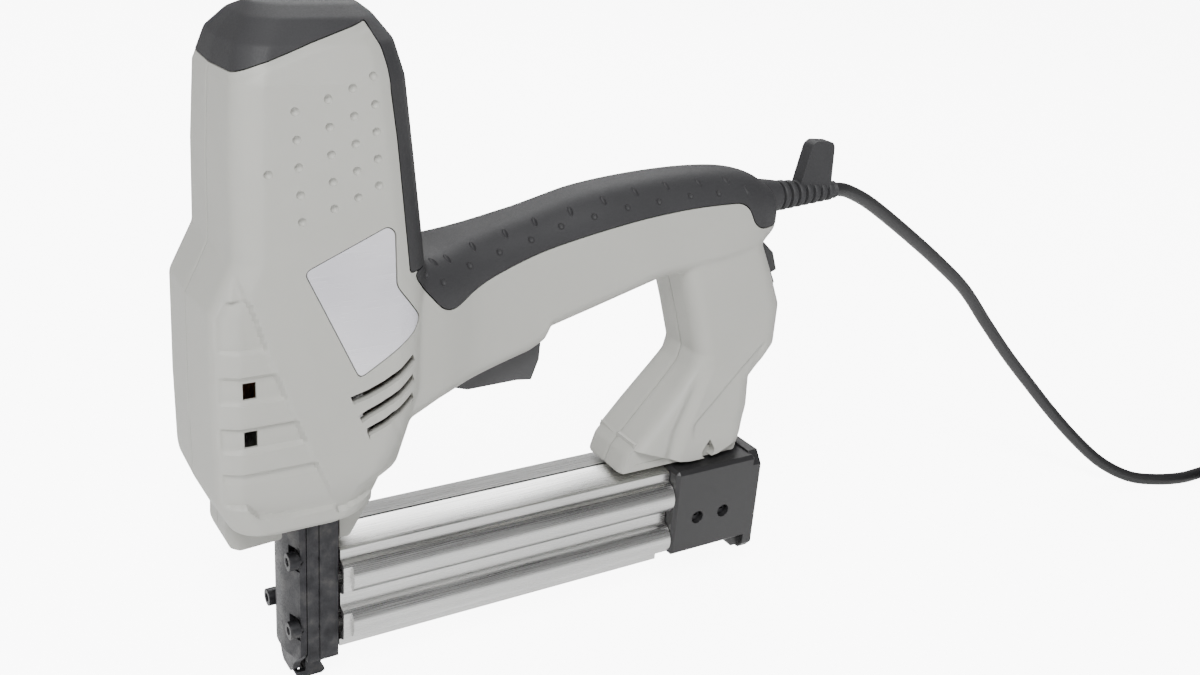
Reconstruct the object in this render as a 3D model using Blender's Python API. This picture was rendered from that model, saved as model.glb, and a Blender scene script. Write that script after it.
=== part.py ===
"""Corded electric tacker for staples and brads: a two-half moulded housing round a solenoid, a steel nose,
an aluminium magazine that slides back for loading, and a mains lead with its plug.

Metres in Blender, with the sizes below in millimetres. +X runs from the nose to the cord, +Y to the tool's
right side, +Z up. The origin is on the lower face of the nose's foot, just behind the staples' exit."""

import math

import bmesh
import bpy
from mathutils import Matrix, Vector

MM = 0.001
GAP = 0.3  # between two pieces that touch

# Housing: (z, front x, rear x, half width) for the head and the rear leg, (x, underside z, top z, half width)
# for the handle. The wall is WALL thick, and rubber RUBBER thick lies in it.
HEAD_SECTIONS = [
    (78, -26, 17, 24),
    (82, -33, 19, 29.5),
    (94, -38.5, 24, 31.5),
    (98, -39, 30, 31.7),
    (126, -39.3, 39, 31.7),
    (163, -38.8, 40, 31),
    (180, -30.5, 38.5, 30.3),
    (210, -30, 35, 29.3),
    (236, -28.6, 32, 28),
    (247, -25.4, 29.5, 24),
    (254, -20, 25, 17),
    (257.5, -15, 20, 9),
]
HANDLE_SECTIONS = [
    (22, 108, 172, 29),
    (45, 116.5, 170.5, 24.5),
    (62, 120.5, 174, 19.5),
    (86, 126.5, 179.5, 17.5),
    (92, 129.5, 181, 17.3),
    (94.5, 134.8, 181.7, 17.2),
    (114, 140, 186.5, 17),
    (146, 149, 189.7, 17),
    (175, 151, 189.8, 17),
    (192, 154, 187, 16),
    (203, 160, 181, 12),
]
LEG_SECTIONS = [
    (62.5, 134, 196, 17),
    (71, 137, 197.5, 17.5),
    (84, 148.5, 199.8, 17.3),
    (98, 161, 199.8, 16.5),
    (106, 167.5, 207, 16),
    (112, 169, 211.5, 16),
    (130, 163.5, 211.5, 16),
    (146, 158, 204.5, 16),
    (164, 152, 196, 15.5),
]
WALL = 2.8
RUBBER = 3.0
UNDER_RUBBER = 6.0
CORNER_STEPS = 3

# The cap and rear strip of the head, the grip on the handle, and the two name plates, as outlines in X and Z.
CAP_OUTLINE = [
    (-60, 241.3), (-20, 241.8), (12, 255.2), (17, 247), (20.5, 234), (24, 215), (26.5, 198), (28.5, 184),
    (30, 171.5), (47, 171.5), (47, 200), (70, 275), (-60, 275),
]
GRIP_OUTLINE = [
    (30.3, 171.1), (36.5, 163), (47, 151.5), (61, 160), (84, 168), (109, 173.2), (134, 177.2), (159, 179.3),
    (183, 179), (189.5, 166.5), (230, 166.5), (230, 215), (47.4, 215), (47.4, 171.1),
]
LABEL_OUTLINE = [(-8, 176), (20.5, 188.5), (23, 186.5), (23.5, 167.5), (33.5, 154.5), (31, 150.5), (10.5, 136)]

# Nose, magazine and solenoid.
NOSE_HALF_WIDTH = 15
NOSE_TOP = 84
NOSE_BOTTOM = 13
NOSE_REAR = 9
NOSE_SCREW_Y = 12.3
NOSE_SCREW_Z = (28, 58)
NOSE_SCREW_SEAT = -5.5
BLADE_X = -2.4  # the plane that the blade and the staples' exit lie in
BLADE_PASSAGE = (1.0, 3.9)  # half thickness and half width, clear of the blade
MAGAZINE_FRONT = 9.4
MAGAZINE_REAR = 159
BULGE_Y = 13.4
BULGE_Z = (27.8, 48.2)
BULGE_RADIUS = 7.5
STRIP_TOP = 45
COIL = (116, 184)  # lowest and highest z of the bobbin
BORE_RADIUS = 8.5
PLUNGER = (168, 228)
PLUNGER_STOP = 124.6  # where the plunger's lower end meets the rubber ring, 43 mm down
BLADE_TIP = 47

# Joint axes. The rocker's own directions are outwards from the leg's back and up along its slope.
TRIGGER_PIVOT = (57, 0, 124.5)
ROCKER_PIVOT = (202.4, 0, 147.1)
ROCKER_SLOPE = -27  # degrees about Y
ROCKER_THROW = 7.5  # degrees either side of the slope; the rocker rests with its lower end out
LATCH_PIVOT = (182, 0, 72)
PIN_RADIUS = 1.5

# The mains lead. The route is the lead's own line from the boot to the coil.
CORD_RADIUS = 3.1
CORD_Z = 174.6  # of the lead's axis where it leaves the housing
CORD_ROUTE = [
    (244.4, 0, CORD_Z), (250, 0, 173.9), (257, 0, 171.3), (269, 0, 165.2), (294, 0, 149.3), (320, 0, 131.6),
    (342, 0, 114.9),
    (362, -1, 94.3), (380, -4, 75), (396, -8, 58.5), (413, -14, 40.5), (429, -22, 24), (443, -31, 11.5),
    (457, -40.5, 4.6), (471, -47.9, 3.3), (486, -52.6, 3.2), (499.5, -53.4, 3.2),
]
COIL_CENTRE = (524, -93.6)
COIL_MEAN_RADIUS = 34
COIL_WIDTH, COIL_HEIGHT = 18.75, 25  # three turns beside each other and four on each other
TAIL_CENTRE, TAIL_RADIUS = (537.05, -91.6), 27  # of the bend that brings the lead over the coil to its plug
TAIL_HEIGHTS = (28.3, 31.8)
PLUG_ENTRY = (536, -118.6, 31.8)
PLUG_OUTLINE = [(12, 7), (18, 14), (34, 17.6), (48, 17.6)]  # (distance from its entry, half width)

bpy_data = bpy.data
for leftover in list(bpy_data.objects):
    bpy_data.objects.remove(leftover, do_unlink=True)

tacker = bpy_data.collections.new("electric_tacker")
cutters = bpy_data.collections.new("cutters")
cutters.hide_render = True
for group in (tacker, cutters):
    bpy.context.scene.collection.children.link(group)


def material(name, colour, roughness, metallic=0.0):
    made = bpy_data.materials.new(name)
    made.use_nodes = True
    shader = made.node_tree.nodes["Principled BSDF"]
    shader.inputs["Base Color"].default_value = (*colour, 1)
    shader.inputs["Roughness"].default_value = roughness
    shader.inputs["Metallic"].default_value = metallic
    made.diffuse_color = (*colour, 1)
    return made


GREY_PLASTIC = material("grey_plastic", (0.50, 0.50, 0.47), 0.5)
BLACK_RUBBER = material("black_rubber", (0.035, 0.035, 0.037), 0.65)
BLACK_PLASTIC = material("black_plastic", (0.03, 0.03, 0.032), 0.45)
DARK_PLASTIC = material("dark_plastic", (0.06, 0.06, 0.062), 0.5)
ALUMINIUM = material("aluminium", (0.72, 0.72, 0.71), 0.35, 1.0)
BLACK_STEEL = material("black_steel", (0.03, 0.03, 0.033), 0.4, 0.8)
STEEL = material("steel", (0.55, 0.55, 0.56), 0.3, 1.0)
COPPER = material("copper", (0.72, 0.32, 0.14), 0.35, 1.0)
SILVER_LABEL = material("silver_label", (0.62, 0.62, 0.65), 0.3, 0.6)
GREEN_BOARD = material("green_board", (0.02, 0.16, 0.07), 0.5)
NYLON = material("nylon", (0.75, 0.72, 0.62), 0.5)


# Shapes. Each of these returns an object whose mesh holds its place, in metres.
def place_mesh(name, mesh, finish=None):
    """The object of a mesh given in millimetres: a piece if it has a finish, and a cutter if it has none."""
    mesh.transform(Matrix.Scale(MM, 4))
    mesh.name = name
    made = bpy_data.objects.new(name, mesh)
    if finish is None:
        cutters.objects.link(made)
        made.hide_render = True
        made.display_type = "WIRE"
    else:
        mesh.materials.append(finish)
        tacker.objects.link(made)
    return made


def mesh_of(shape):
    """A mesh from a bmesh, with its faces turned outwards."""
    bmesh.ops.recalc_face_normals(shape, faces=shape.faces)
    mesh = bpy_data.meshes.new("shape")
    shape.to_mesh(mesh)
    shape.free()
    return mesh


def smooth(piece, angle=35):
    piece.data.shade_smooth()
    piece.data.set_sharp_from_angle(angle=math.radians(angle))
    return piece


def box(name, low, high, finish=None, edge=0.0):
    shape = bmesh.new()
    bmesh.ops.create_cube(shape, size=1)
    low, high = Vector(low), Vector(high)
    bmesh.ops.scale(shape, vec=high - low, verts=shape.verts)
    bmesh.ops.translate(shape, vec=(high + low) / 2, verts=shape.verts)
    if edge:
        bmesh.ops.bevel(
            shape, geom=shape.edges[:], offset=edge, segments=1, profile=0.5, affect="EDGES", material=-1
        )
    return place_mesh(name, mesh_of(shape), finish)


def along(start, end):
    """The matrix that takes +Z from the origin to the line from start towards end."""
    start, end = Vector(start), Vector(end)
    return Matrix.Translation(start) @ (end - start).to_track_quat("Z", "Y").to_matrix().to_4x4()


def rod(name, start, end, radius, finish=None, sides=16, end_radius=None):
    shape = bmesh.new()
    length = (Vector(end) - Vector(start)).length
    bmesh.ops.create_cone(
        shape,
        cap_ends=True,
        segments=sides,
        radius1=radius,
        radius2=radius if end_radius is None else end_radius,
        depth=length,
        matrix=along(start, end) @ Matrix.Translation((0, 0, length / 2)),
    )
    made = place_mesh(name, mesh_of(shape), finish)
    return smooth(made) if finish else made


def turned(name, profile, start, end, finish=None, sides=24):
    """A profile of (radius, distance along the axis), turned round the line from start towards end."""
    shape = bmesh.new()
    corners = [shape.verts.new((radius, 0, height)) for radius, height in profile]
    closed = profile[0][0] > 0
    for first, second in zip(corners, corners[1:]):
        shape.edges.new((first, second))
    if closed:
        shape.edges.new((corners[-1], corners[0]))
    bmesh.ops.spin(
        shape,
        geom=shape.verts[:] + shape.edges[:],
        cent=(0, 0, 0),
        axis=(0, 0, 1),
        angle=math.tau,
        steps=sides,
        use_merge=True,
    )
    bmesh.ops.remove_doubles(shape, verts=shape.verts, dist=1e-4)
    bmesh.ops.transform(shape, matrix=along(start, end), verts=shape.verts)
    made = place_mesh(name, mesh_of(shape), finish)
    return smooth(made) if finish else made


def curve_mesh(curve, matrix=None):
    """The mesh of a curve, its caps welded on, with the curve removed."""
    drawn = bpy_data.objects.new("curve", curve)
    bpy.context.scene.collection.objects.link(drawn)
    evaluated = drawn.evaluated_get(bpy.context.evaluated_depsgraph_get())
    mesh = bpy_data.meshes.new_from_object(evaluated)
    bpy_data.objects.remove(drawn, do_unlink=True)
    bpy_data.curves.remove(curve)
    mesh.transform(matrix or Matrix())
    shape = bmesh.new()
    shape.from_mesh(mesh)
    bmesh.ops.remove_doubles(shape, verts=shape.verts, dist=1e-4)
    bpy_data.meshes.remove(mesh)
    return mesh_of(shape)


# A flat outline's plane: where its two drawn directions and its thickness go.
PLANES = {
    "XZ": Matrix(((1, 0, 0, 0), (0, 0, -1, 0), (0, 1, 0, 0), (0, 0, 0, 1))),
    "YZ": Matrix(((0, 0, 1, 0), (1, 0, 0, 0), (0, 1, 0, 0), (0, 0, 0, 1))),
    "XY": Matrix(),
}


def plate(name, outline, low, high, finish=None, plane="XZ", holes=()):
    """A flat outline given a thickness from low to high across its plane."""
    curve = bpy_data.curves.new("outline", "CURVE")
    curve.dimensions = "2D"
    curve.fill_mode = "BOTH"
    curve.extrude = (high - low) / 2
    for ring in (outline, *holes):
        spline = curve.splines.new("POLY")
        spline.points.add(len(ring) - 1)
        spline.use_cyclic_u = True
        for point, (across, up) in zip(spline.points, ring):
            point.co = (across, up, 0, 1)
    middle = (low + high) / 2
    lift = Matrix.Translation((0, 0, -middle if plane == "XZ" else middle))
    return place_mesh(name, curve_mesh(curve, PLANES[plane] @ lift), finish)


def circle(centre, radius, sides=16, start=0.0, sweep=math.tau):
    steps = sides if abs(sweep) == math.tau else sides + 1
    angles = [start + sweep * step / sides for step in range(steps)]
    return [(centre[0] + radius * math.cos(a), centre[1] + radius * math.sin(a)) for a in angles]


def tube(name, points, radius, finish, resolution=2):
    """A round tube through points given in millimetres."""
    curve = bpy_data.curves.new(name, "CURVE")
    curve.dimensions = "3D"
    curve.bevel_depth = radius
    curve.bevel_resolution = resolution
    curve.use_fill_caps = True
    spline = curve.splines.new("POLY")
    spline.points.add(len(points) - 1)
    for point, place in zip(spline.points, points):
        point.co = (*place, 1)
    return smooth(place_mesh(name, curve_mesh(curve), finish), 50)


def smooth_route(route, count):
    """Points evenly spread along the smooth curve through a route's own points."""
    places = [Vector(place) for place in route]
    places = [2 * places[0] - places[1], *places, 2 * places[-1] - places[-2]]
    fine = []
    for before, first, second, after in zip(places, places[1:], places[2:], places[3:]):
        for step in range(12):
            t = step / 12
            fine.append(
                0.5
                * (
                    2 * first
                    + (second - before) * t
                    + (2 * before - 5 * first + 4 * second - after) * t**2
                    + (3 * first - before - 3 * second + after) * t**3
                )
            )
    fine.append(places[-2])
    reach = [0.0]
    for first, second in zip(fine, fine[1:]):
        reach.append(reach[-1] + (second - first).length)
    spread, at = [], 0
    for step in range(count):
        wanted = reach[-1] * step / (count - 1)
        while at < len(reach) - 2 and reach[at + 1] < wanted:
            at += 1
        share = (wanted - reach[at]) / (reach[at + 1] - reach[at])
        spread.append(fine[at].lerp(fine[at + 1], share))
    return spread


def helix(start, end, radius, turns, steps=10):
    """The points of a coil spring from start to end."""
    matrix = along(start, end)
    length = (Vector(end) - Vector(start)).length
    total = int(turns * steps)
    return [
        matrix
        @ Vector(
            (
                radius * math.cos(math.tau * step / steps),
                radius * math.sin(math.tau * step / steps),
                length * step / total,
            )
        )
        for step in range(total + 1)
    ]


def combine(piece, other, operation):
    modifier = piece.modifiers.new(f"{operation.lower()}_{other.name}", "BOOLEAN")
    modifier.operation = operation
    modifier.solver = "EXACT"
    modifier.object = other
    return piece


def cut(piece, *others):
    for other in others:
        combine(piece, other, "DIFFERENCE")
    return piece


def join(piece, *others):
    for other in others:
        combine(piece, other, "UNION")
    return piece


def keep_inside(piece, other):
    return combine(piece, other, "INTERSECT")


# The housing's outer form, and the same form drawn in by a distance.
def rounded_loop(low, high, half_width, low_radius, high_radius, bow=0.0):
    """The loop of one section: (along, across) points round a rectangle whose corners are rounded. Its low side
    bows out by bow at the middle."""
    loop = []
    corners = (
        (low + low_radius + bow, -half_width + low_radius, low_radius, 180),
        (high - high_radius, -half_width + high_radius, high_radius, 270),
        (high - high_radius, half_width - high_radius, high_radius, 0),
        (low + low_radius + bow, half_width - low_radius, low_radius, 90),
    )
    for along_centre, across_centre, radius, first in corners:
        for step in range(CORNER_STEPS + 1):
            angle = math.radians(first + 90 * step / CORNER_STEPS)
            loop.append((along_centre + radius * math.cos(angle), across_centre + radius * math.sin(angle)))
    loop.append((low, 0))
    return loop


def loft(name, sections, direction, inset, radii, bow=0.0):
    """A closed form through rounded sections that stand along Z or along X, all drawn in by inset."""
    shape = bmesh.new()
    rings = []
    first, last = sections[0][0], sections[-1][0]
    for station, low, high, half_width in sections:
        station = min(max(station, first + inset), last - inset)
        low_radius, high_radius = (max(0.5, min(radius, half_width - 1) - inset) for radius in radii)
        loop = rounded_loop(low + inset, high - inset, half_width - inset, low_radius, high_radius, bow)
        if direction == "Z":
            rings.append([shape.verts.new((run, across, station)) for run, across in loop])
        else:
            rings.append([shape.verts.new((station, across, run)) for run, across in loop])
    for ring, above in zip(rings, rings[1:]):
        for step in range(len(ring)):
            after = (step + 1) % len(ring)
            shape.faces.new((ring[step], ring[after], above[after]))
            shape.faces.new((ring[step], above[after], above[step]))
    shape.faces.new(rings[0])
    shape.faces.new(rings[-1])
    bmesh.ops.remove_doubles(shape, verts=shape.verts, dist=1e-3)
    bmesh.ops.dissolve_degenerate(shape, edges=shape.edges, dist=1e-3)
    return place_mesh(name, mesh_of(shape))


def housing_form(name, inset):
    """Head, handle and leg as one form."""
    head = loft(f"{name}_head", HEAD_SECTIONS, "Z", inset, (9, 16), 2.0)
    handle = loft(f"{name}_handle", HANDLE_SECTIONS, "X", inset, (8, 14))
    leg = loft(f"{name}_leg", LEG_SECTIONS, "Z", inset, (7, 9))
    return join(head, handle, leg)


outer_form = housing_form("outer", 0)
rubber_form = housing_form("rubber_inside", RUBBER)
rubber_bed = housing_form("rubber_bed", RUBBER + GAP)
label_form = housing_form("label_inside", 1.0)
label_bed = housing_form("label_bed", 1.0 + GAP)
wall_form = housing_form("wall_inside", WALL)
deep_form = housing_form("deep_inside", UNDER_RUBBER)

FAR = 60  # past the housing on either side


def grown(outline, distance):
    """A closed outline moved outwards by a distance, corner by corner."""
    points = [Vector(point) for point in outline]
    turn = sum(a.x * b.y - b.x * a.y for a, b in zip(points, points[1:] + points[:1]))
    side = 1 if turn > 0 else -1
    moved = []
    for before, here, after in zip(points[-1:] + points[:-1], points, points[1:] + points[:1]):
        first, second = (here - before).normalized(), (after - here).normalized()
        out_first = Vector((first.y, -first.x)) * side
        out_second = Vector((second.y, -second.x)) * side
        middle = out_first + out_second
        moved.append(tuple(here + middle * (distance / (1 + out_first.dot(out_second)))))
    return moved


# Rubber: the head's cap with its rear strip, and the grip along the top of the handle.
top_cap = plate("top_cap", CAP_OUTLINE, -FAR, FAR, BLACK_RUBBER)
keep_inside(top_cap, outer_form)
cut(top_cap, rubber_form)
handle_grip = plate("handle_grip", GRIP_OUTLINE, -FAR, FAR, BLACK_RUBBER)
keep_inside(handle_grip, outer_form)
cut(handle_grip, rubber_form)
cord_opening = rod("cord_opening", (190, 0, CORD_Z), (240, 0, CORD_Z), 9)
cut(handle_grip, cord_opening)

rubber_place = join(
    plate("cap_place", grown(CAP_OUTLINE, GAP), -FAR, FAR),
    plate("grip_place", grown(GRIP_OUTLINE, GAP + 0.05), -FAR, FAR),
)
cut(rubber_place, rubber_bed)

# Name plates, sunk into both sides of the head.
label_left = plate("label_plate_left", LABEL_OUTLINE, -FAR, -20, SILVER_LABEL)
label_right = plate("label_plate_right", LABEL_OUTLINE, 20, FAR, SILVER_LABEL)
for label in (label_left, label_right):
    keep_inside(label, outer_form)
    cut(label, label_form)
label_place = plate("label_place", grown(LABEL_OUTLINE, GAP), -FAR, FAR)
cut(label_place, label_bed)

# The hollow inside the housing: a thin wall, and a deeper one under the rubber.
hollow = join(
    cut(
        wall_form,
        plate("cap_backing", grown(CAP_OUTLINE, 3), -FAR, FAR),
        plate("grip_backing", grown(GRIP_OUTLINE, 3), -FAR, FAR),
        plate("label_backing", grown(LABEL_OUTLINE, 3), -FAR, -29.3),
        plate("label_backing_right", grown(LABEL_OUTLINE, 3), 29.3, FAR),
    ),
    deep_form,
)

# Openings in the housing.
VENT_HEIGHTS = (0, -7.5, -14.5)
vents = []
for row, drop in enumerate(VENT_HEIGHTS):
    ends = ((7 + 3 * row, 130), (19, 134), (30.5, 141.5))
    arc = [(x, z + drop) for x, z in ends]
    vents.append(plate(f"vent_{row}", [*arc, *[(x + 1, z - 2.6) for x, z in reversed(arc)]], -FAR, FAR))
for row, height in enumerate((137, 119.5)):
    vents.append(box(f"square_vent_{row}", (-29, -FAR, height - 3), (-24, FAR, height + 3)))
trigger_slot = box("trigger_slot", (52.4, -9.6, 100), (96, 9.6, 139.5))
nose_slot = box("nose_slot", (-10.2, -NOSE_HALF_WIDTH - 0.5, 50), (9.8, NOSE_HALF_WIDTH + 0.5, 90))
cord_hole = rod("cord_hole", (185, 0, CORD_Z), (240, 0, CORD_Z), 8.8)
latch_slot = box("latch_slot", (167, -5.4, 50), (215, 5.4, 83))
magazine_place = box("magazine_place", (8, -NOSE_HALF_WIDTH - 0.6, 10), (205, NOSE_HALF_WIDTH + 0.6, 63))
teardrop = plate(
    "teardrop", [*circle((177, 67), 3.5, 12, math.radians(150), math.radians(240)), (177, 73.5)], -FAR, -15
)


def on_slope(outline):
    """Points of (outwards, up the slope) from the rocker's axis, as points in X and Z."""
    slope = math.radians(ROCKER_SLOPE)
    return [
        (
            ROCKER_PIVOT[0] + out * math.cos(slope) + up * math.sin(slope),
            ROCKER_PIVOT[2] - out * math.sin(slope) + up * math.cos(slope),
        )
        for out, up in outline
    ]


def slope_block(name, low, high, half_width, finish=None):
    """A block square to the leg's back, between two corners of (outwards, up the slope)."""
    corners = [low, (high[0], low[1]), high, (low[0], high[1])]
    return plate(name, on_slope(corners), -half_width, half_width, finish)


BEZEL_LOW, BEZEL_HIGH, BEZEL_HALF_WIDTH = (-8.5, -11.2), (2.5, 11.2), 8.5
rocker_slot = slope_block(
    "rocker_slot", (-20, BEZEL_LOW[1] - GAP), (20, BEZEL_HIGH[1] + GAP), BEZEL_HALF_WIDTH + GAP
)

# The screws that close the housing go in from the right side, through posts on both halves.
HOUSING_SCREWS = [(-24, 226), (-31, 100), (24, 102), (54, 158), (152, 176), (190, 116), (152, 79)]
POST_RADIUS = 3.6
SCREW_RADIUS = 1.6


def sorted_corners(first, second):
    """The lowest and the highest corner of the box between two corners."""
    pairs = list(zip(first, second))
    return tuple(min(pair) for pair in pairs), tuple(max(pair) for pair in pairs)


def mouldings(side):
    """The posts and ribs inside one half, on the side of Y given by its sign."""
    posts = []
    for number, (x, z) in enumerate(HOUSING_SCREWS):
        posts.append(rod(f"post_{number}_{side}", (x, 0, z), (x, side * FAR, z), POST_RADIUS, sides=8))
    for name, (x, _, z), clear in (("trigger", TRIGGER_PIVOT, 9.9), ("latch", LATCH_PIVOT, 5.7)):
        posts.append(rod(f"{name}_post_{side}", (x, side * clear, z), (x, side * FAR, z), 3.2, sides=8))
    ribs = [
        box(f"coil_rib_low_{side}", *sorted_corners((-34, side * 26.6, 109), (34, side * FAR, 111))),
        box(f"latch_rib_{side}", *sorted_corners((188, 0, 83.8), (197, side * FAR, 85.8))),
        box(f"coil_rib_high_{side}", *sorted_corners((-34, side * 26.6, 189), (34, side * FAR, 191))),
    ]
    return posts, ribs


chin = plate(
    "chin", [(-30.5, 84), (-31, 72), (-29.5, 67.5), (-26, 65.5), (-10.5, 66.5), (-10.5, 84)], -9.5, 9.5
)
tab = plate("tab", [(10.2, 84), (23, 84), (22.5, 78), (14, 64), (10.2, 64)], -13, 13)


def housing_half(name, side):
    """One half: the outer form with its chin and tab, less the rubber's place, the hollow and the openings."""
    half = box(name, *sorted_corners((-70, side * GAP / 2, 40), (240, side * FAR, 280)), GREY_PLASTIC)
    keep_inside(half, join(housing_form(f"{name}_skin", 0), chin, tab))
    cut(half, rubber_place, label_place)
    posts, ribs = mouldings(side)
    inside = cut(box(f"{name}_hollow", (-70, -FAR, 40), (240, FAR, 280)), *posts, *ribs)
    keep_inside(inside, hollow)
    cut(half, inside, trigger_slot, nose_slot, rocker_slot, cord_hole, latch_slot, magazine_place, *vents)
    return half


housing_left = housing_half("housing_left", -1)
housing_right = housing_half("housing_right", 1)
cut(housing_left, teardrop)

# Housing screws: sunk in the right half's posts, with their threads in the left half's.
screw_holes = []
for number, (x, z) in enumerate(HOUSING_SCREWS):
    screw = join(
        rod(f"housing_screw_{number + 1}", (x, -9, z), (x, 9.5, z), SCREW_RADIUS, STEEL, 8),
        rod(f"screw_head_{number}", (x, 9, z), (x, 11.2, z), 2.6, sides=12),
    )
    screw_holes += [
        rod(f"screw_bore_{number}", (x, -9 - GAP, z), (x, 9.5, z), SCREW_RADIUS + GAP, sides=8),
        rod(f"screw_sink_{number}", (x, 9 - GAP, z), (x, FAR, z), 2.6 + GAP, sides=12),
    ]
cut(housing_left, *screw_holes)
cut(housing_right, *screw_holes)

# Nose: a steel block with the staple passage, the casting screwed on its front, and the tip under it.
CASTING_BACK = BLADE_X - 1.1
nose_body = box(
    "nose_body", (CASTING_BACK + GAP, -NOSE_HALF_WIDTH, NOSE_BOTTOM), (NOSE_REAR, NOSE_HALF_WIDTH, NOSE_TOP),
    BLACK_STEEL,
)
cut(
    nose_body,
    box("staple_passage", (-5, -3.9, 0), (20, 3.9, 51)),
    box("blade_passage", (-5, -BLADE_PASSAGE[1], 50), (BLADE_X + BLADE_PASSAGE[0], BLADE_PASSAGE[1], 100)),
    box("plate_line_left", (1.2, -20, 5), (1.7, -14.4, 100)),
    box("plate_line_right", (1.2, 14.4, 5), (1.7, 20, 100)),
)
nose_casting = plate(
    "nose_casting",
    [(CASTING_BACK, -15), (-5.6, -14), (-7.6, -8.4), (-8.6, -5), (-8.9, -2), (-8.9, 2), (-8.6, 5), (-7.6, 8.4),
     (-5.6, 14), (CASTING_BACK, 15)],
    3.3, 74, BLACK_STEEL, plane="XY",
)
casting_front = plate(
    "casting_front",
    [(-16, 80), (-16, 21), (-14, 15.5), (-8, 9.5), (-6.2, 5.6), (-4, 3.4), (4, 3.4), (6.2, 5.6), (8, 9.5),
     (14, 15.5), (16, 21), (16, 80)],
    -20, 0, plane="YZ",
)
keep_inside(nose_casting, casting_front)
cut(nose_casting, box("tongue_relief", (-20, -16, 0), (-6.4, 16, 14)))
nose_screws = []
NOSE_SCREWS = [(side, height) for side in (-1, 1) for height in NOSE_SCREW_Z]
for number, (side, height) in enumerate(NOSE_SCREWS):
    y = side * NOSE_SCREW_Y
    notch = box(
        f"screw_notch_{number}",
        *sorted_corners((-14, side * 8, height - 4.8), (NOSE_SCREW_SEAT, side * 20, height + 4.8)),
    )
    cut(nose_casting, notch)
    bore = rod(f"nose_bore_{number}", (-9, y, height), (12, y, height), 2 + GAP, sides=12)
    cut(nose_casting, bore)
    cut(nose_body, bore)
    screw = join(
        rod(f"nose_screw_{number + 1}", (NOSE_SCREW_SEAT - GAP - 4, y, height),
            (NOSE_SCREW_SEAT - GAP, y, height), 3.5, BLACK_STEEL, 20),
        rod(f"nose_shank_{number}", (NOSE_SCREW_SEAT - 1, y, height), (8, y, height), 2, sides=12),
    )
    cut(screw, rod(f"hex_{number}", (-15, y, height), (NOSE_SCREW_SEAT - GAP - 2, y, height), 1.75, sides=6))
    nose_screws.append(screw)
nose_tip = plate(
    "nose_tip",
    [(-5, 2.3), (-4.2, 0.4), (-3.6, 0), (5.4, 0), (6.8, 0.9), (6.6, 2.4), (5, 3.7), (4.8, 5), (7, 7.6),
     (12, 11.6), (12, 12.7), (-1.1, 12.7), (-1.1, 3), (-4.7, 3)],
    -6, 6, BLACK_STEEL,
)
cut(
    nose_tip,
    box("exit_slot", (BLADE_X - BLADE_PASSAGE[0], -3.7, -1), (BLADE_X + BLADE_PASSAGE[0], 3.7, 20)),
    box("tip_relief", (3, -3.7, 3.4), (20, 3.7, 20)),
)

# Magazine: the fixed rail, the staples on it, and the sliding extrusion with its rear cap.
magazine_rail = join(
    box("magazine_rail", (MAGAZINE_FRONT, -14.8, 17), (156, 14.8, 20), ALUMINIUM),
    box("rail_core", (MAGAZINE_FRONT, -2.2, 19), (156, 2.2, 41)),
)
staple_strip = cut(
    box("staple_strip", (BLADE_X + 1.1, -3.2, 20.4), (60, 3.2, STRIP_TOP), STEEL),
    box("strip_inside", (-10, -2.5, 10), (70, 2.5, 43)),
)
bulge_angle = math.degrees(math.acos((NOSE_HALF_WIDTH - BULGE_Y) / BULGE_RADIUS))


def bulge(height, side):
    """The half-round rib on one side wall, from the wall out and back to it."""
    ends = (-bulge_angle, bulge_angle) if side > 0 else (180 - bulge_angle, 180 + bulge_angle)
    first, last = (math.radians(end) for end in ends)
    return circle((side * BULGE_Y, height), BULGE_RADIUS, 14, first, last - first)


section = [(-0.6, 62), (-0.6, 59.6), (0.6, 59.6), (0.6, 62), (15, 60)]
section += [*reversed(bulge(BULGE_Z[1], 1)), *reversed(bulge(BULGE_Z[0], 1))]
section += [(15, 20.3), (-15, 20.3)]
section += [*reversed(bulge(BULGE_Z[0], -1)), *reversed(bulge(BULGE_Z[1], -1)), (-15, 60)]
magazine_extrusion = plate(
    "magazine_extrusion", section, MAGAZINE_FRONT + GAP, MAGAZINE_REAR, ALUMINIUM, plane="YZ",
    holes=[circle((side * 12.9, height), 5, 12) for side in (-1, 1) for height in BULGE_Z],
)
cut(
    magazine_extrusion,
    box("staple_channel", (0, -3.6, 10), (170, 3.6, 52)),
    box("front_flat_left", (0, -30, 10), (13, -18.6, 70)),
    box("front_flat_right", (0, 18.6, 10), (13, 30, 70)),
)
rear_cap = box("rear_cap", (MAGAZINE_REAR + GAP, -21, 20.5), (202, 21, 61.6), BLACK_PLASTIC, edge=1.5)
flange = plate(
    "flange",
    [(-21, 17), (-18, 13.5), (18, 13.5), (21, 17), (21, 57), (17, 62.5), (-17, 62.5), (-21, 57)],
    200, 205, plane="YZ",
)
flange_foot = plate("flange_foot", [(191, 21), (196, 15), (202, 15), (202, 22)], -18, 18)
join(rear_cap, flange, flange_foot)
cut(
    rear_cap,
    box("cap_pocket", (150, -9, 24), (192, 9, 57)),
    box("cap_lip_gap", (150, -14, 15), (165, 14, 24.5)),
)
cap_insert = cut(
    box("cap_insert", (MAGAZINE_REAR + GAP, -8.7, 24.8), (191.7, 8.7, 56.7), ALUMINIUM),
    box("insert_passage", (150, -4.6, 10), (200, 4.6, 52)),
)
cap_screws = []
CAP_SCREWS = [(side, x) for side in (-1, 1) for x in (172.3, 186.3)]
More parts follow.
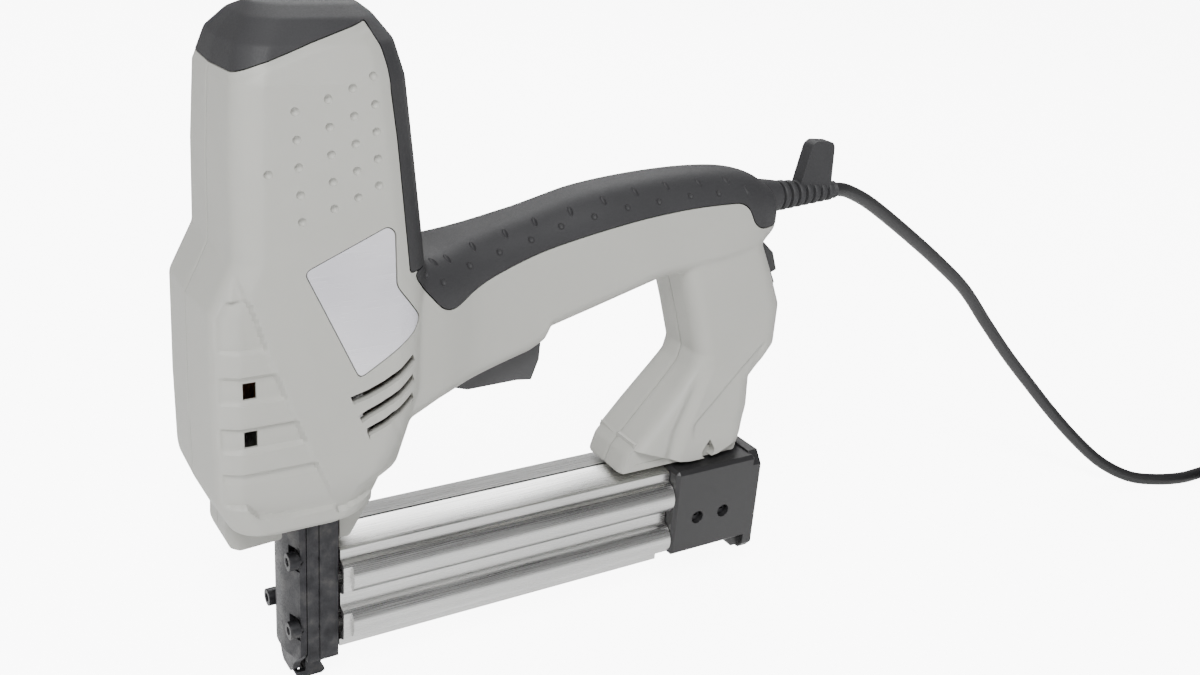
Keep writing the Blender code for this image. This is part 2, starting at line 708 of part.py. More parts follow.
for number, (side, x) in enumerate(CAP_SCREWS):
    z = 37.4
    screw = join(
        rod(f"cap_screw_{number + 1}", (x, side * 16.4, z), (x, side * 18.6, z), 2.6, BLACK_STEEL, 16),
        rod(f"cap_shank_{number}", (x, side * 5.2, z), (x, side * 17, z), 1.5, sides=10),
    )
    slot = sorted_corners((x - 1.5, side * 17.8, z - 0.35), (x + 1.5, side * 20, z + 0.35))
    cut(screw, box(f"screw_slot_{number}", *slot))
    cap_screws.append(screw)
    sink = rod(f"cap_sink_{number}", (x, side * (16.4 - GAP), z), (x, side * 30, z), 3, sides=16)
    bore = rod(f"cap_bore_{number}", (x, side * 4, z), (x, side * 17, z), 1.5 + GAP, sides=10)
    cut(rear_cap, sink, bore)
    cut(cap_insert, bore)

# Pusher and its spring, in the extrusion's channel over the rail.
pusher = cut(
    box("pusher", (60.4, -3.2, 24), (72, 3.2, 51.5), BLACK_STEEL),
    box("pusher_inside", (50, -2.5, 10), (80, 2.5, 41.4)),
)
pusher_spring = tube("pusher_spring", helix((72.6, 0, 46.8), (158, 0, 46.8), 2.5, 14, 7), 0.45, STEEL, 0)

# Latch: a lever under the rear leg that holds the cap's flange down, with its pin and spring.
def on_pin(name, pivot, half_length, holes):
    """A pin across the tool on a joint's axis, with its place cut in what it goes through."""
    x, _, z = pivot
    reach = half_length + GAP
    place = rod(f"{name}_place", (x, -reach, z), (x, reach, z), PIN_RADIUS + GAP, sides=12)
    for piece in holes:
        cut(piece, place)
    return rod(name, (x, -half_length, z), (x, half_length, z), PIN_RADIUS, STEEL, 12)


latch_lever = plate(
    "latch_lever",
    [(170, 67.5), (180, 66), (190, 64.2), (200.5, 63.4), (203.5, 66.5), (203.5, 71), (200, 74), (190, 74.6),
     (186, 75.5), (178, 75.5), (170, 71)],
    -5, 5, DARK_PLASTIC,
)
latch_pin = on_pin("latch_pin", LATCH_PIVOT, 9, (latch_lever, housing_left, housing_right))
latch_spring = tube("latch_spring", helix((193, 0, 75.4), (193, 0, 83), 2.4, 5, 7), 0.4, STEEL, 0)

# Trigger, its pin, spring and switch. The web between its two hollows presses the switch's button.
trigger = plate(
    "trigger",
    [(53.2, 121), (56, 115.4), (63, 113.2), (74, 113.3), (84, 113.6), (90.6, 112.8), (93.6, 121), (94, 131),
     (80, 132), (62, 131), (55.6, 128.4)],
    -9, 9, DARK_PLASTIC,
)
cut(
    trigger,
    box("hollow_ahead", (62, -7, 117), (72, 7, 140)),
    box("hollow_behind", (79, -7, 117), (90, 7, 140)),
)
trigger_pin = on_pin("trigger_pin", TRIGGER_PIVOT, 13, (trigger, housing_left, housing_right))
trigger_spring = tube("trigger_spring", helix((85, 0, 117.9), (85, 0, 141.4), 3, 7, 7), 0.5, STEEL, 0)
trigger_switch = box("trigger_switch", (62, -5.2, 142), (92, 5.2, 158), BLACK_PLASTIC, edge=0.5)
join(trigger_switch, box("switch_button", (74, -1.5, 136.4), (77, 1.5, 143)))

# Power rocker in its bezel, in the back of the leg under the cord.
rocker_bezel = slope_block("rocker_bezel", BEZEL_LOW, BEZEL_HIGH, BEZEL_HALF_WIDTH, BLACK_PLASTIC)
cut(rocker_bezel, slope_block("rocker_well", (-6.6, -9.7), (20, 9.7), 6.8))
ROCKER_OUTLINE = [(7.6, 0), (5.5, 8.6), (1, 7.6), (-3, 4), (-3, -4), (1, -7.6), (5.5, -8.6)]


def thrown(point, degrees):
    """A point of (outwards, up the slope) turned about the rocker's axis, with its lower end going outwards."""
    turn = math.radians(degrees)
    out, up = point
    return out * math.cos(turn) - up * math.sin(turn), out * math.sin(turn) + up * math.cos(turn)


rocker_at_rest = [thrown(point, ROCKER_THROW) for point in ROCKER_OUTLINE]
power_rocker = plate("power_rocker", on_slope(rocker_at_rest), -6.4, 6.4, BLACK_PLASTIC)

# Solenoid: bobbin and winding in a steel frame, with the plunger, blade, return spring and two rubber
# bumpers.
LOW, HIGH = COIL


def blade_space(name, low, high):
    """A slot for the blade, with clearance all round it."""
    half_thickness, half_width = BLADE_PASSAGE
    return box(
        name, (BLADE_X - half_thickness, -half_width, low), (BLADE_X + half_thickness, half_width, high)
    )


coil_bobbin = turned(
    "coil_bobbin",
    [(BORE_RADIUS, HIGH), (21, HIGH), (21, HIGH - 2.5), (10, HIGH - 2.5), (10, LOW + 2.5), (21, LOW + 2.5),
     (21, LOW), (BORE_RADIUS, LOW)],
    (0, 0, 0), (0, 0, 1), NYLON,
)
coil_winding = turned(
    "coil_winding",
    [(10 + GAP, HIGH - 2.5 - GAP), (20, HIGH - 2.5 - GAP), (20, LOW + 2.5 + GAP), (10 + GAP, LOW + 2.5 + GAP)],
    (0, 0, 0), (0, 0, 1), COPPER,
)
yoke_frame = cut(
    box("yoke_frame", (-14, -25, LOW - 3.8), (14, 25, HIGH + 3.8), STEEL),
    box("yoke_window", (-20, -21.8, LOW - GAP), (20, 21.8, HIGH + GAP)),
    rod("yoke_bore", (0, 0, LOW + 10), (0, 0, HIGH + 10), BORE_RADIUS, sides=24),
    blade_space("yoke_slot", LOW - 10, LOW + 10),
)
plunger = cut(
    rod("plunger", (0, 0, PLUNGER[0]), (0, 0, PLUNGER[1]), 8, STEEL, 24),
    blade_space("blade_seat", PLUNGER[0] - 5, PLUNGER[0] + 8.3),
)
driver_blade = box(
    "driver_blade", (BLADE_X - 0.6, -3.2, BLADE_TIP), (BLADE_X + 0.6, 3.2, PLUNGER[0] + 8), STEEL
)
return_spring = tube(
    "return_spring", helix((0, 0, LOW + 0.6), (0, 0, PLUNGER[0] - 0.9), 6, 6, 9), 0.55, STEEL, 0
)
upper_bumper = rod("upper_bumper", (0, 0, PLUNGER[1] + GAP), (0, 0, 236), 11, BLACK_RUBBER, 20)
lower_bumper = turned(
    "lower_bumper", [(7, LOW), (8.1, LOW), (8.1, PLUNGER_STOP), (7, PLUNGER_STOP)],
    (0, 0, 0), (0, 0, 1), BLACK_RUBBER,
)

# Control electronics in the handle, and the lead's clamp and terminals behind them.
control_board = box("control_board", (104, -11, 155), (150, 11, 156.6), GREEN_BOARD)
capacitor = box("capacitor", (128, -7, 157), (146, 7, 170), DARK_PLASTIC, edge=0.8)
heat_sink = join(
    box("heat_sink", (107, -8, 157), (121, 8, 159), ALUMINIUM),
    *[box(f"heat_fin_{fin}", (107, -8 + 4.9 * fin, 158), (121, -6.7 + 4.9 * fin, 168)) for fin in range(4)],
)
terminal_block = box("terminal_block", (156, -9, 160), (168, 9, 170), NYLON, edge=0.6)
cord_clamp = cut(
    box("cord_clamp", (174, -6.5, 172), (182, 6.5, 180.5), DARK_PLASTIC),
    rod("clamp_bore", (170, 0, CORD_Z), (190, 0, CORD_Z), CORD_RADIUS + GAP, sides=12),
    box("clamp_mouth", (170, -CORD_RADIUS - GAP, 160), (190, CORD_RADIUS + GAP, CORD_Z)),
)

# Mains lead: boot with its tab, the lead to the coil, the coil with its tie, and the tail to the plug.
BOOT_START, BOOT_END = 193, 243.6
RIB_COUNT = 7


def boot_profile():
    """(radius, distance) down the boot's outer side: a neck inside the housing, a smooth cone and ribs."""
    outline = [(0, 0), (6, 0), (6, 3.5), (8.2, 4), (8, 11), (6.6, 17.5)]
    first, last = 19, BOOT_END - BOOT_START - 1
    pitch = (last - first) / RIB_COUNT
    for rib in range(RIB_COUNT):
        start = first + pitch * rib
        radius = 6.4 - 2.0 * rib / (RIB_COUNT - 1)
        outline += [
            (radius - 0.9, start), (radius, start + 0.5), (radius, start + pitch * 0.6),
            (radius - 0.9, start + pitch * 0.6 + 0.5),
        ]
    return [*outline, (4, last + 1), (0, last + 1)]


cord_boot = turned(
    "cord_boot", boot_profile(), (BOOT_START, 0, CORD_Z), (BOOT_START + 1, 0, CORD_Z), BLACK_RUBBER, 16
)
boot_tab = plate(
    "boot_tab",
    [(221, 176), (222.5, 183), (225.5, 196), (228, 197.8), (237, 197), (238.4, 195), (239.5, 176)],
    -3, 3,
)
join(cord_boot, boot_tab)
lead_end = rod(
    "lead_end", (168 + GAP, 0, CORD_Z), (BOOT_START - GAP, 0, CORD_Z), CORD_RADIUS, BLACK_PLASTIC, 12
)
power_cord = tube("power_cord", smooth_route(CORD_ROUTE, 27), CORD_RADIUS, BLACK_PLASTIC)
inner, outer = COIL_MEAN_RADIUS - COIL_WIDTH / 2, COIL_MEAN_RADIUS + COIL_WIDTH / 2
cord_coil = turned(
    "cord_coil",
    [(inner + 2, COIL_HEIGHT), (outer - 2, COIL_HEIGHT), (outer, COIL_HEIGHT - 2), (outer, 2), (outer - 2, 0),
     (inner + 2, 0), (inner, 2), (inner, COIL_HEIGHT - 2)],
    (*COIL_CENTRE, 0), (*COIL_CENTRE, 1), BLACK_PLASTIC, 32,
)
tie_outer, tie_inner = COIL_CENTRE[0] - outer - 0.6, COIL_CENTRE[0] - inner + 0.6
cord_tie = cut(
    box("cord_tie", (tie_outer - 1, COIL_CENTRE[1] - 5, 0),
        (tie_inner + 1, COIL_CENTRE[1] + 5, COIL_HEIGHT + 1.6), BLACK_PLASTIC),
    box("tie_inside", (tie_outer, COIL_CENTRE[1] - 9, -5), (tie_inner, COIL_CENTRE[1] + 9, COIL_HEIGHT + 0.6)),
)
tail_low, tail_high = TAIL_HEIGHTS
tail_points = [
    (x, y, tail_low + (tail_high - tail_low) * step / 8)
    for step, (x, y) in enumerate(circle(TAIL_CENTRE, TAIL_RADIUS, 8, math.radians(8), math.radians(-98)))
]
cord_tail = tube("cord_tail", tail_points, CORD_RADIUS, BLACK_PLASTIC)
plug_x, plug_y, plug_z = PLUG_ENTRY
plug_sides = [
    [(plug_x - distance, plug_y + side * half_width) for distance, half_width in PLUG_OUTLINE]
    for side in (-1, 1)
]
mains_plug = plate(
    "mains_plug", [*plug_sides[0], *reversed(plug_sides[1])], plug_z - 6.7, plug_z + 6.7, BLACK_PLASTIC,
    plane="XY",
)
join(
    mains_plug,
    rod("plug_relief", PLUG_ENTRY, (plug_x - 14, plug_y, plug_z), 4.2, sides=12, end_radius=6),
    *[
        rod(f"plug_pin_{side}", (plug_x - 47, plug_y + side * 9.5, plug_z),
            (plug_x - 67, plug_y + side * 9.5, plug_z), 2.4, sides=10)
        for side in (-1, 1)
    ],
)


# What moves hangs from an empty on its joint's axis.
def hang(name, place, *pieces):
    """An empty at a place in millimetres, with pieces as its children where they are."""
    axis = bpy_data.objects.new(name, None)
    axis.location = Vector(place) * MM
    axis.empty_display_size = 0.01
    tacker.objects.link(axis)
    for piece in pieces:
        piece.parent = axis
        piece.matrix_parent_inverse = Matrix.Translation(-axis.location)
    return axis


hang("trigger_axis", TRIGGER_PIVOT, trigger)
hang("rocker_axis", ROCKER_PIVOT, power_rocker)
hang("latch_axis", LATCH_PIVOT, latch_lever)
hang("plunger_axis", (0, 0, PLUNGER[1]), plunger, driver_blade)
drawer_axis = hang("drawer_axis", (MAGAZINE_REAR, 0, 40), magazine_extrusion, rear_cap, cap_insert, *cap_screws)
pusher_axis = hang("pusher_axis", (66, 0, 46), pusher)
pusher_axis.parent = drawer_axis
pusher_axis.matrix_parent_inverse = Matrix.Translation(-drawer_axis.location)
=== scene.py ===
"""The looks of a corded electric tacker for staples and brads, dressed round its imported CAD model.

Metres, in the CAD's own frame: +X from the nose to the lead, +Y to the tool's right, +Z up. Shapes are drawn in
millimetres and turned into metres as they are made."""

import math

import bmesh
import bpy
from mathutils import Matrix, Vector
from mathutils.bvhtree import BVHTree


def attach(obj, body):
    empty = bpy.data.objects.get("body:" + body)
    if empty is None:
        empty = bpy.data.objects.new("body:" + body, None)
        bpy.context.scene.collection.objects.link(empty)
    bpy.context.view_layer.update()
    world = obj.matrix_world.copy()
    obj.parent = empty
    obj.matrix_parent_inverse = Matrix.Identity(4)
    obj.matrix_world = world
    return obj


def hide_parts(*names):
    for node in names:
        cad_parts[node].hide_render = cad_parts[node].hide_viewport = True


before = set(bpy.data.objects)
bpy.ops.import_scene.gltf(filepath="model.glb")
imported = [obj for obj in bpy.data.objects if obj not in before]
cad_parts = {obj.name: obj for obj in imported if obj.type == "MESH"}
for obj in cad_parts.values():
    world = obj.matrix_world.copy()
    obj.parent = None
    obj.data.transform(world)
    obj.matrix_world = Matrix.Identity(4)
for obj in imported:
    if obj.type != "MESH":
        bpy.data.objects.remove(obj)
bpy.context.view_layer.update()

# ---- Camera -------------------------------------------------------------------------------------------------
# A normal lens in front of the nose's left corner and a little above the tool, looking down on it along the
# handle.
camera = bpy.data.objects.new("camera", bpy.data.cameras.new("camera"))
camera.data.lens = 38.364
camera.data.sensor_width = 36
camera.data.clip_start = 0.01
camera_right, camera_up = (0.8468, -0.5264, 0.0759), (0.1395, 0.3575, 0.9234)
camera_back = (-0.5132, -0.7714, 0.3761)
camera_axes = Matrix((camera_right, camera_up, camera_back)).transposed().to_4x4()
camera.matrix_world = Matrix.Translation((-0.1413, -0.4037, 0.3184)) @ camera_axes
bpy.context.scene.collection.objects.link(camera)
bpy.context.scene.camera = camera

# ---- Studio -------------------------------------------------------------------------------------------------
# A wide white sweep, one large soft box over the left shoulder, a lower one on the right and a bright surround
# that darkens overhead, so that bright metal has something to show.
MM = 0.001


def node_material(name):
    """A new material with its nodes, its links and its shader."""
    made = bpy.data.materials.new(name)
    made.use_nodes = True
    return made, made.node_tree.nodes, made.node_tree.links, made.node_tree.nodes["Principled BSDF"]


sweep_white, sweep_nodes, sweep_links, sweep_shader = node_material("sweep_white")
sweep_shader.inputs["Base Color"].default_value = (0.93, 0.93, 0.93, 1)
sweep_shader.inputs["Roughness"].default_value = 0.9
sweep_shader.inputs["Specular IOR Level"].default_value = 0.1
sweep_shader.inputs["Emission Color"].default_value = (1, 1, 1, 1)
sweep_seen = sweep_nodes.new("ShaderNodeLightPath")
sweep_glow = sweep_nodes.new("ShaderNodeMath")
sweep_glow.operation = "MULTIPLY_ADD"
sweep_glow.inputs[1].default_value = 8.0
sweep_glow.inputs[2].default_value = 0.3
sweep_links.new(sweep_seen.outputs["Is Camera Ray"], sweep_glow.inputs[0])
sweep_links.new(sweep_glow.outputs[0], sweep_shader.inputs["Emission Strength"])
sweep_shape = bmesh.new()
bmesh.ops.create_circle(sweep_shape, cap_ends=True, segments=64, radius=7)
sweep_mesh = bpy.data.meshes.new("studio_sweep")
sweep_shape.to_mesh(sweep_mesh)
sweep_shape.free()
sweep_mesh.materials.append(sweep_white)
sweep = bpy.data.objects.new("studio_sweep", sweep_mesh)
bpy.context.scene.collection.objects.link(sweep)


def soft_box(name, place, aim, size, power):
    """A square area light at a place, turned towards a point, in metres and watts."""
    lamp = bpy.data.objects.new(name, bpy.data.lights.new(name, "AREA"))
    lamp.data.size = size
    lamp.data.energy = power
    facing = (Vector(aim) - Vector(place)).to_track_quat("-Z", "Y").to_matrix().to_4x4()
    lamp.matrix_world = Matrix.Translation(place) @ facing
    bpy.context.scene.collection.objects.link(lamp)


soft_box("key_light", (-0.55, -1.1, 1.6), (0.08, 0, 0.13), 0.7, 52)
soft_box("side_light", (-1.5, -0.1, 0.8), (0, 0, 0.13), 0.8, 4)
soft_box("back_light", (0.7, 1.2, 1.3), (0.1, 0, 0.12), 0.9, 18)

surround = bpy.data.worlds.new("surround")
surround.use_nodes = True
surround_nodes, surround_links = surround.node_tree.nodes, surround.node_tree.links
surround_way = surround_nodes.new("ShaderNodeTexCoord")
surround_split = surround_nodes.new("ShaderNodeSeparateXYZ")
surround_ramp = surround_nodes.new("ShaderNodeValToRGB")
surround_ramp.color_ramp.elements[0].position = 0.0
surround_ramp.color_ramp.elements[0].color = (1.0, 1.0, 1.0, 1)
surround_ramp.color_ramp.elements[1].position = 0.85
surround_ramp.color_ramp.elements[1].color = (0.16, 0.16, 0.165, 1)
surround_links.new(surround_way.outputs["Generated"], surround_split.inputs[0])
surround_links.new(surround_split.outputs["Z"], surround_ramp.inputs[0])
surround_links.new(surround_ramp.outputs[0], surround_nodes["Background"].inputs["Color"])
surround_nodes["Background"].inputs["Strength"].default_value = 0.5
bpy.context.scene.world = surround

# ---- Mains lead ---------------------------------------------------------------------------------------------
# Round black PVC lead, 6.2 mm thick. It leaves the boot, bends down to the bench, and the rest of it is wound
# in a flat coil that a tie holds, with the plug lying on it.
TOOL = "tool"
LEAD_RADIUS = 3.1
LEAD_ROUTE = [
    (244.4, 0, 174.6), (250, 0, 173.9), (257, 0, 171.3), (269, 0, 165.2), (294, 0, 149.3), (320, 0, 131.6),
    (342, 0, 114.9), (362, -1, 94.3), (380, -4, 75), (396, -8, 58.5), (413, -14, 40.5), (429, -22, 24),
    (443, -31, 11.5), (457, -40.5, 4.6), (471, -47.9, 3.3), (486, -52.6, 3.2), (499.5, -53.4, 3.2),
    (513, -53.4, 3.2),
]
COIL_CENTRE = (524, -93.6)
COIL_FAR, TURN_PITCH = 40.25, 6.25  # radius of the outermost turn, and from each turn to the next
COIL_FLOOR, COIL_LAYERS, TURNS_PER_LAYER = 3.2, 4, 2
CLIMB, CLIMB_STEPS = 110, 12  # degrees in which the lead climbs from a layer to the next, and its points
TAIL_CENTRE, TAIL_RADIUS = (537.05, -91.6), 27  # of the bend that brings the lead over the coil to its plug
TAIL_HEIGHTS = (28.3, 31.8)
TAIL_FIRST, TAIL_TURN, TAIL_STEPS = 8.7, 98.7, 14  # where the bend starts and how far it goes, in degrees
PLUG_ENTRY = (536, -118.6, 31.8)


def eased(share):
    """0 to 1 with a soft start and a soft end."""
    share = min(max(share, 0.0), 1.0)
    return share * share * (3 - 2 * share)


def smooth_route(route, spacing=4.0):
    """Points about spacing apart along the smooth curve through a route's own points."""
    places = [Vector(place) for place in route]
    places = [2 * places[0] - places[1], *places, 2 * places[-1] - places[-2]]
    fine = []
    for before, first, second, after in zip(places, places[1:], places[2:], places[3:]):
        steps = max(2, round((second - first).length / spacing))
        for step in range(steps):
            t = step / steps
            fine.append(0.5 * (
                2 * first + (second - before) * t + (2 * before - 5 * first + 4 * second - after) * t**2
                + (3 * first - before - 3 * second + after) * t**3
            ))
    return [*fine, places[-2]]


def on_coil(degrees, radius, height):
    """A point of the coil, given round its axis."""
    angle = math.radians(degrees)
    return Vector((COIL_CENTRE[0] + radius * math.cos(angle), COIL_CENTRE[1] + radius * math.sin(angle), height))


lead_line = smooth_route(LEAD_ROUTE)
degrees = 90.0
radius, height = COIL_FAR, COIL_FLOOR
for layer in range(COIL_LAYERS):
    inwards = -1 if layer % 2 == 0 else 1
    steps = 36 * TURNS_PER_LAYER
    for _ in range(steps):  # one layer, wound inwards and then outwards
        lead_line.append(on_coil(degrees, radius, height))
        degrees -= 360 * TURNS_PER_LAYER / steps
        radius += inwards * TURN_PITCH * TURNS_PER_LAYER / steps
    if layer < COIL_LAYERS - 1:
        for number in range(CLIMB_STEPS):
            lead_line.append(on_coil(degrees, radius, height + TURN_PITCH * eased(number / CLIMB_STEPS)))
            degrees -= CLIMB / CLIMB_STEPS
        height += TURN_PITCH
last_climb = degrees % 360 - TAIL_FIRST
tail_low, tail_high = TAIL_HEIGHTS
for number in range(CLIMB_STEPS):  # up off the last layer, then over the coil into the plug
    share = number / CLIMB_STEPS
    lead_line.append(on_coil(degrees - last_climb * share, COIL_FAR, height + (tail_low - height) * eased(share)))
for number in range(TAIL_STEPS + 1):
    share = number / TAIL_STEPS
    turn = math.radians(TAIL_FIRST - TAIL_TURN * share)
    lead_line.append(Vector((
        TAIL_CENTRE[0] + TAIL_RADIUS * math.cos(turn), TAIL_CENTRE[1] + TAIL_RADIUS * math.sin(turn),
        tail_low + (tail_high - tail_low) * eased(share),
    )))
lead_line.append(Vector(PLUG_ENTRY))


def texture_place(nodes, links, stretch=(1, 1, 1), turn=(0, 0, 0)):
    """Object coordinates through a Mapping node that stretches and turns a pattern."""
    where = nodes.new("ShaderNodeTexCoord")
    mapping = nodes.new("ShaderNodeMapping")
    mapping.inputs["Scale"].default_value = stretch
    mapping.inputs["Rotation"].default_value = turn
    links.new(where.outputs["Object"], mapping.inputs["Vector"])
    return mapping.outputs[0]


def speckle(nodes, links, place, scale, detail=3.0, roughness=0.55):
    """A noise pattern's value, with scale in cells per metre."""
    noise = nodes.new("ShaderNodeTexNoise")
    noise.inputs["Scale"].default_value = scale
    noise.inputs["Detail"].default_value = detail
    noise.inputs["Roughness"].default_value = roughness
    links.new(place, noise.inputs["Vector"])
    return noise.outputs["Fac"]


def spread(nodes, links, value, low, high, start=0.3, end=0.7):
    """A value from start to end, spread over low to high."""
    ranged = nodes.new("ShaderNodeMapRange")
    for socket, number in (("From Min", start), ("From Max", end), ("To Min", low), ("To Max", high)):
        ranged.inputs[socket].default_value = number
    links.new(value, ranged.inputs["Value"])
    return ranged.outputs[0]


def tinted(nodes, links, value, colours, start=0.3, end=0.7):
    """A value turned into a colour between two or more."""
    ramp = nodes.new("ShaderNodeValToRGB")
    ramp.color_ramp.elements[0].position = start
    ramp.color_ramp.elements[1].position = end
    stops = ramp.color_ramp.elements
    while len(stops) < len(colours):
        stops.new(start + (end - start) * (len(stops) - 1) / (len(colours) - 1))
    for element, colour in zip(stops, colours):
        element.color = (*colour, 1)
    links.new(value, ramp.inputs[0])
    return ramp.outputs[0]


def relief(nodes, links, value, depth, strength=1.0, under=None):
    """A value as a raised grain depth metres high, over another relief if one is given."""
    bump = nodes.new("ShaderNodeBump")
    bump.inputs["Distance"].default_value = depth
    bump.inputs["Strength"].default_value = strength
    links.new(value, bump.inputs["Height"])
    if under is not None:
        links.new(under, bump.inputs["Normal"])
    return bump.outputs[0]


def plastic(name, colour, roughness, grain, grain_size=0.5, drift=0.05, specular=0.5):
    """Moulded plastic or rubber: its colour drifts a little, and a spark-eroded grain covers it. Sizes in mm."""
    made, nodes, links, shader = node_material(name)
    place = texture_place(nodes, links)
    broad = speckle(nodes, links, place, 22)
    fine = speckle(nodes, links, place, 1000 / grain_size, 2.0)
    shades = [tuple(part * factor for part in colour) for factor in (1 - drift, 1, 1 + drift)]
    links.new(tinted(nodes, links, broad, shades), shader.inputs["Base Color"])
    links.new(spread(nodes, links, fine, roughness - 0.05, roughness + 0.06), shader.inputs["Roughness"])
    swell = relief(nodes, links, speckle(nodes, links, place, 120, 1.0), 0.0001, 0.12)
    links.new(relief(nodes, links, fine, grain * MM, 0.5, swell), shader.inputs["Normal"])
    shader.inputs["Specular IOR Level"].default_value = specular
    return made


def smooth(piece, angle=35):
    """Smooth shading, but sharp where faces meet at more than an angle."""
    piece.data.shade_smooth()
    piece.data.set_sharp_from_angle(angle=math.radians(angle))
    return piece


def piece_of(name, shape, finish, body, nodes=(), sharp=35):
    """A piece from a bmesh drawn in millimetres, riding on a body in place of CAD nodes."""
    bmesh.ops.scale(shape, vec=(MM, MM, MM), verts=shape.verts)
    mesh = bpy.data.meshes.new(name)
    shape.to_mesh(mesh)
    shape.free()
    return put(bpy.data.objects.new(name, mesh), finish, body, nodes, sharp)


def put(piece, finish, body, nodes=(), sharp=35):
    """Gives a piece its finish, its body and the CAD nodes that it stands for."""
    if piece.name not in bpy.context.scene.collection.objects:
        bpy.context.scene.collection.objects.link(piece)
    piece.data.materials.clear()
    piece.data.materials.append(finish)
    if piece.type == "MESH" and sharp:
        smooth(piece, sharp)
    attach(piece, body)
    if nodes:
        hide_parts(*nodes)
    return piece


lead_pvc = plastic("lead_pvc", (0.016, 0.016, 0.017), 0.42, 0.012, 0.8, 0.12)
lead_curve = bpy.data.curves.new("mains_lead", "CURVE")
lead_curve.dimensions = "3D"
lead_curve.bevel_depth = LEAD_RADIUS * MM
lead_curve.bevel_resolution = 5
lead_curve.use_fill_caps = True
lead_spline = lead_curve.splines.new("POLY")
lead_spline.points.add(len(lead_line) - 1)
for point, place in zip(lead_spline.points, lead_line):
    point.co = (*(place * MM), 1)
lead_spline.use_smooth = True
mains_lead = put(bpy.data.objects.new("mains_lead", lead_curve), lead_pvc, TOOL,
                 ("power_cord", "cord_coil", "cord_tail"))

# ---- Plug and tie -------------------------------------------------------------------------------------------
# A flat two-pin plug moulded on the lead's end, and the ribbed strap that holds the coil together.
plug_black = plastic("plug_black", (0.02, 0.02, 0.021), 0.4, 0.02, 0.6, 0.1)


def dressed_copy(name, node, finish, body, edge=0.3, segments=2, angle=30, sharp=40):
    """A merged copy of a CAD solid whose edges are rounded by edge millimetres, in the solid's place."""
    shape = bmesh.new()
    shape.from_mesh(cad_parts[node].data)
    bmesh.ops.remove_doubles(shape, verts=shape.verts, dist=2e-6)
    bmesh.ops.dissolve_limit(
        shape, angle_limit=math.radians(1.5), verts=shape.verts, edges=shape.edges, use_dissolve_boundaries=False
    )
    corners = [
        run for run in shape.edges if len(run.link_faces) == 2 and run.calc_face_angle(0) > math.radians(angle)
    ]
    bmesh.ops.bevel(
        shape, geom=corners, offset=edge * MM, segments=segments, profile=0.5, affect="EDGES", material=-1,
        clamp_overlap=True,
    )
    mesh = bpy.data.meshes.new(name)
    shape.to_mesh(mesh)
    shape.free()
    dressed = put(bpy.data.objects.new(name, mesh), finish, body, (node,), sharp)
    shading = dressed.modifiers.new("even_faces", "WEIGHTED_NORMAL")
    shading.keep_sharp = True
    return dressed


plug = dressed_copy("plug", "mains_plug", plug_black, TOOL, 1.2, 3)
strap_shape = bmesh.new()
STRAP_LOW, STRAP_HIGH, STRAP_WALL = (480.0, 0.8), (500.0, 25.8), 0.7
STRAP_MIDDLE, STRAP_HALF_WIDTH = -93.6, 4.6
for grow in (0, STRAP_WALL):
    ring = [
        strap_shape.verts.new((x, STRAP_MIDDLE - STRAP_HALF_WIDTH, z))
        for x, z in ((STRAP_LOW[0] - grow, STRAP_LOW[1] - grow), (STRAP_HIGH[0] + grow, STRAP_LOW[1] - grow),
                     (STRAP_HIGH[0] + grow, STRAP_HIGH[1] + grow), (STRAP_LOW[0] - grow, STRAP_HIGH[1] + grow))
    ]
    for here, after in zip(ring, ring[1:] + ring[:1]):
        strap_shape.edges.new((here, after))
bmesh.ops.bridge_loops(strap_shape, edges=strap_shape.edges[:])
wide = bmesh.ops.extrude_face_region(strap_shape, geom=strap_shape.faces[:])["geom"]
bmesh.ops.translate(
    strap_shape, vec=(0, 2 * STRAP_HALF_WIDTH, 0), verts=[v for v in wide if isinstance(v, bmesh.types.BMVert)]
)
bmesh.ops.recalc_face_normals(strap_shape, faces=strap_shape.faces[:])
strap = piece_of("coil_strap", strap_shape, plug_black, TOOL, ("cord_tie",))

# ---- Housing form -------------------------------------------------------------------------------------------
# The outer form that the two mouldings and the rubber share: a head round the solenoid, the handle and the rear
# leg, each drawn through rounded sections and run into each other.
WALL, UNDER_RUBBER, RUBBER = 2.8, 6.0, 3.0  # thickness of the shell, of shell and rubber, and of the rubber
HEAD_SECTIONS = [  # z, front x, rear x, half width
    (78, -26, 17, 24), (82, -33, 19, 29.5), (94, -38.5, 24, 31.5), (98, -39, 30, 31.7), (126, -39.3, 39, 31.7),
    (163, -38.8, 40, 31), (180, -30.5, 38.5, 30.3), (210, -30, 35, 29.3), (236, -28.6, 32, 28),
    (247, -25.4, 29.5, 24), (254, -20, 25, 17), (257.5, -15, 20, 9),
]
HANDLE_SECTIONS = [  # x, underside z, top z, half width
    (22, 108, 172, 29), (45, 116.5, 170.5, 24.5), (62, 120.5, 174, 19.5), (86, 126.5, 179.5, 17.5),
    (92, 129.5, 181, 17.3), (94.5, 134.8, 181.7, 17.2), (114, 140, 186.5, 17), (146, 149, 189.7, 17),
    (175, 151, 189.8, 17), (192, 154, 187, 16), (203, 160, 181, 12),
]
LEG_SECTIONS = [  # z, front x, rear x, half width
    (62.5, 134, 196, 17), (71, 137, 197.5, 17.5), (84, 148.5, 199.8, 17.3), (98, 161, 199.8, 16.5),
    (106, 167.5, 207, 16), (112, 169, 211.5, 16), (130, 163.5, 211.5, 16), (146, 158, 204.5, 16),
    (164, 152, 196, 15.5),
]


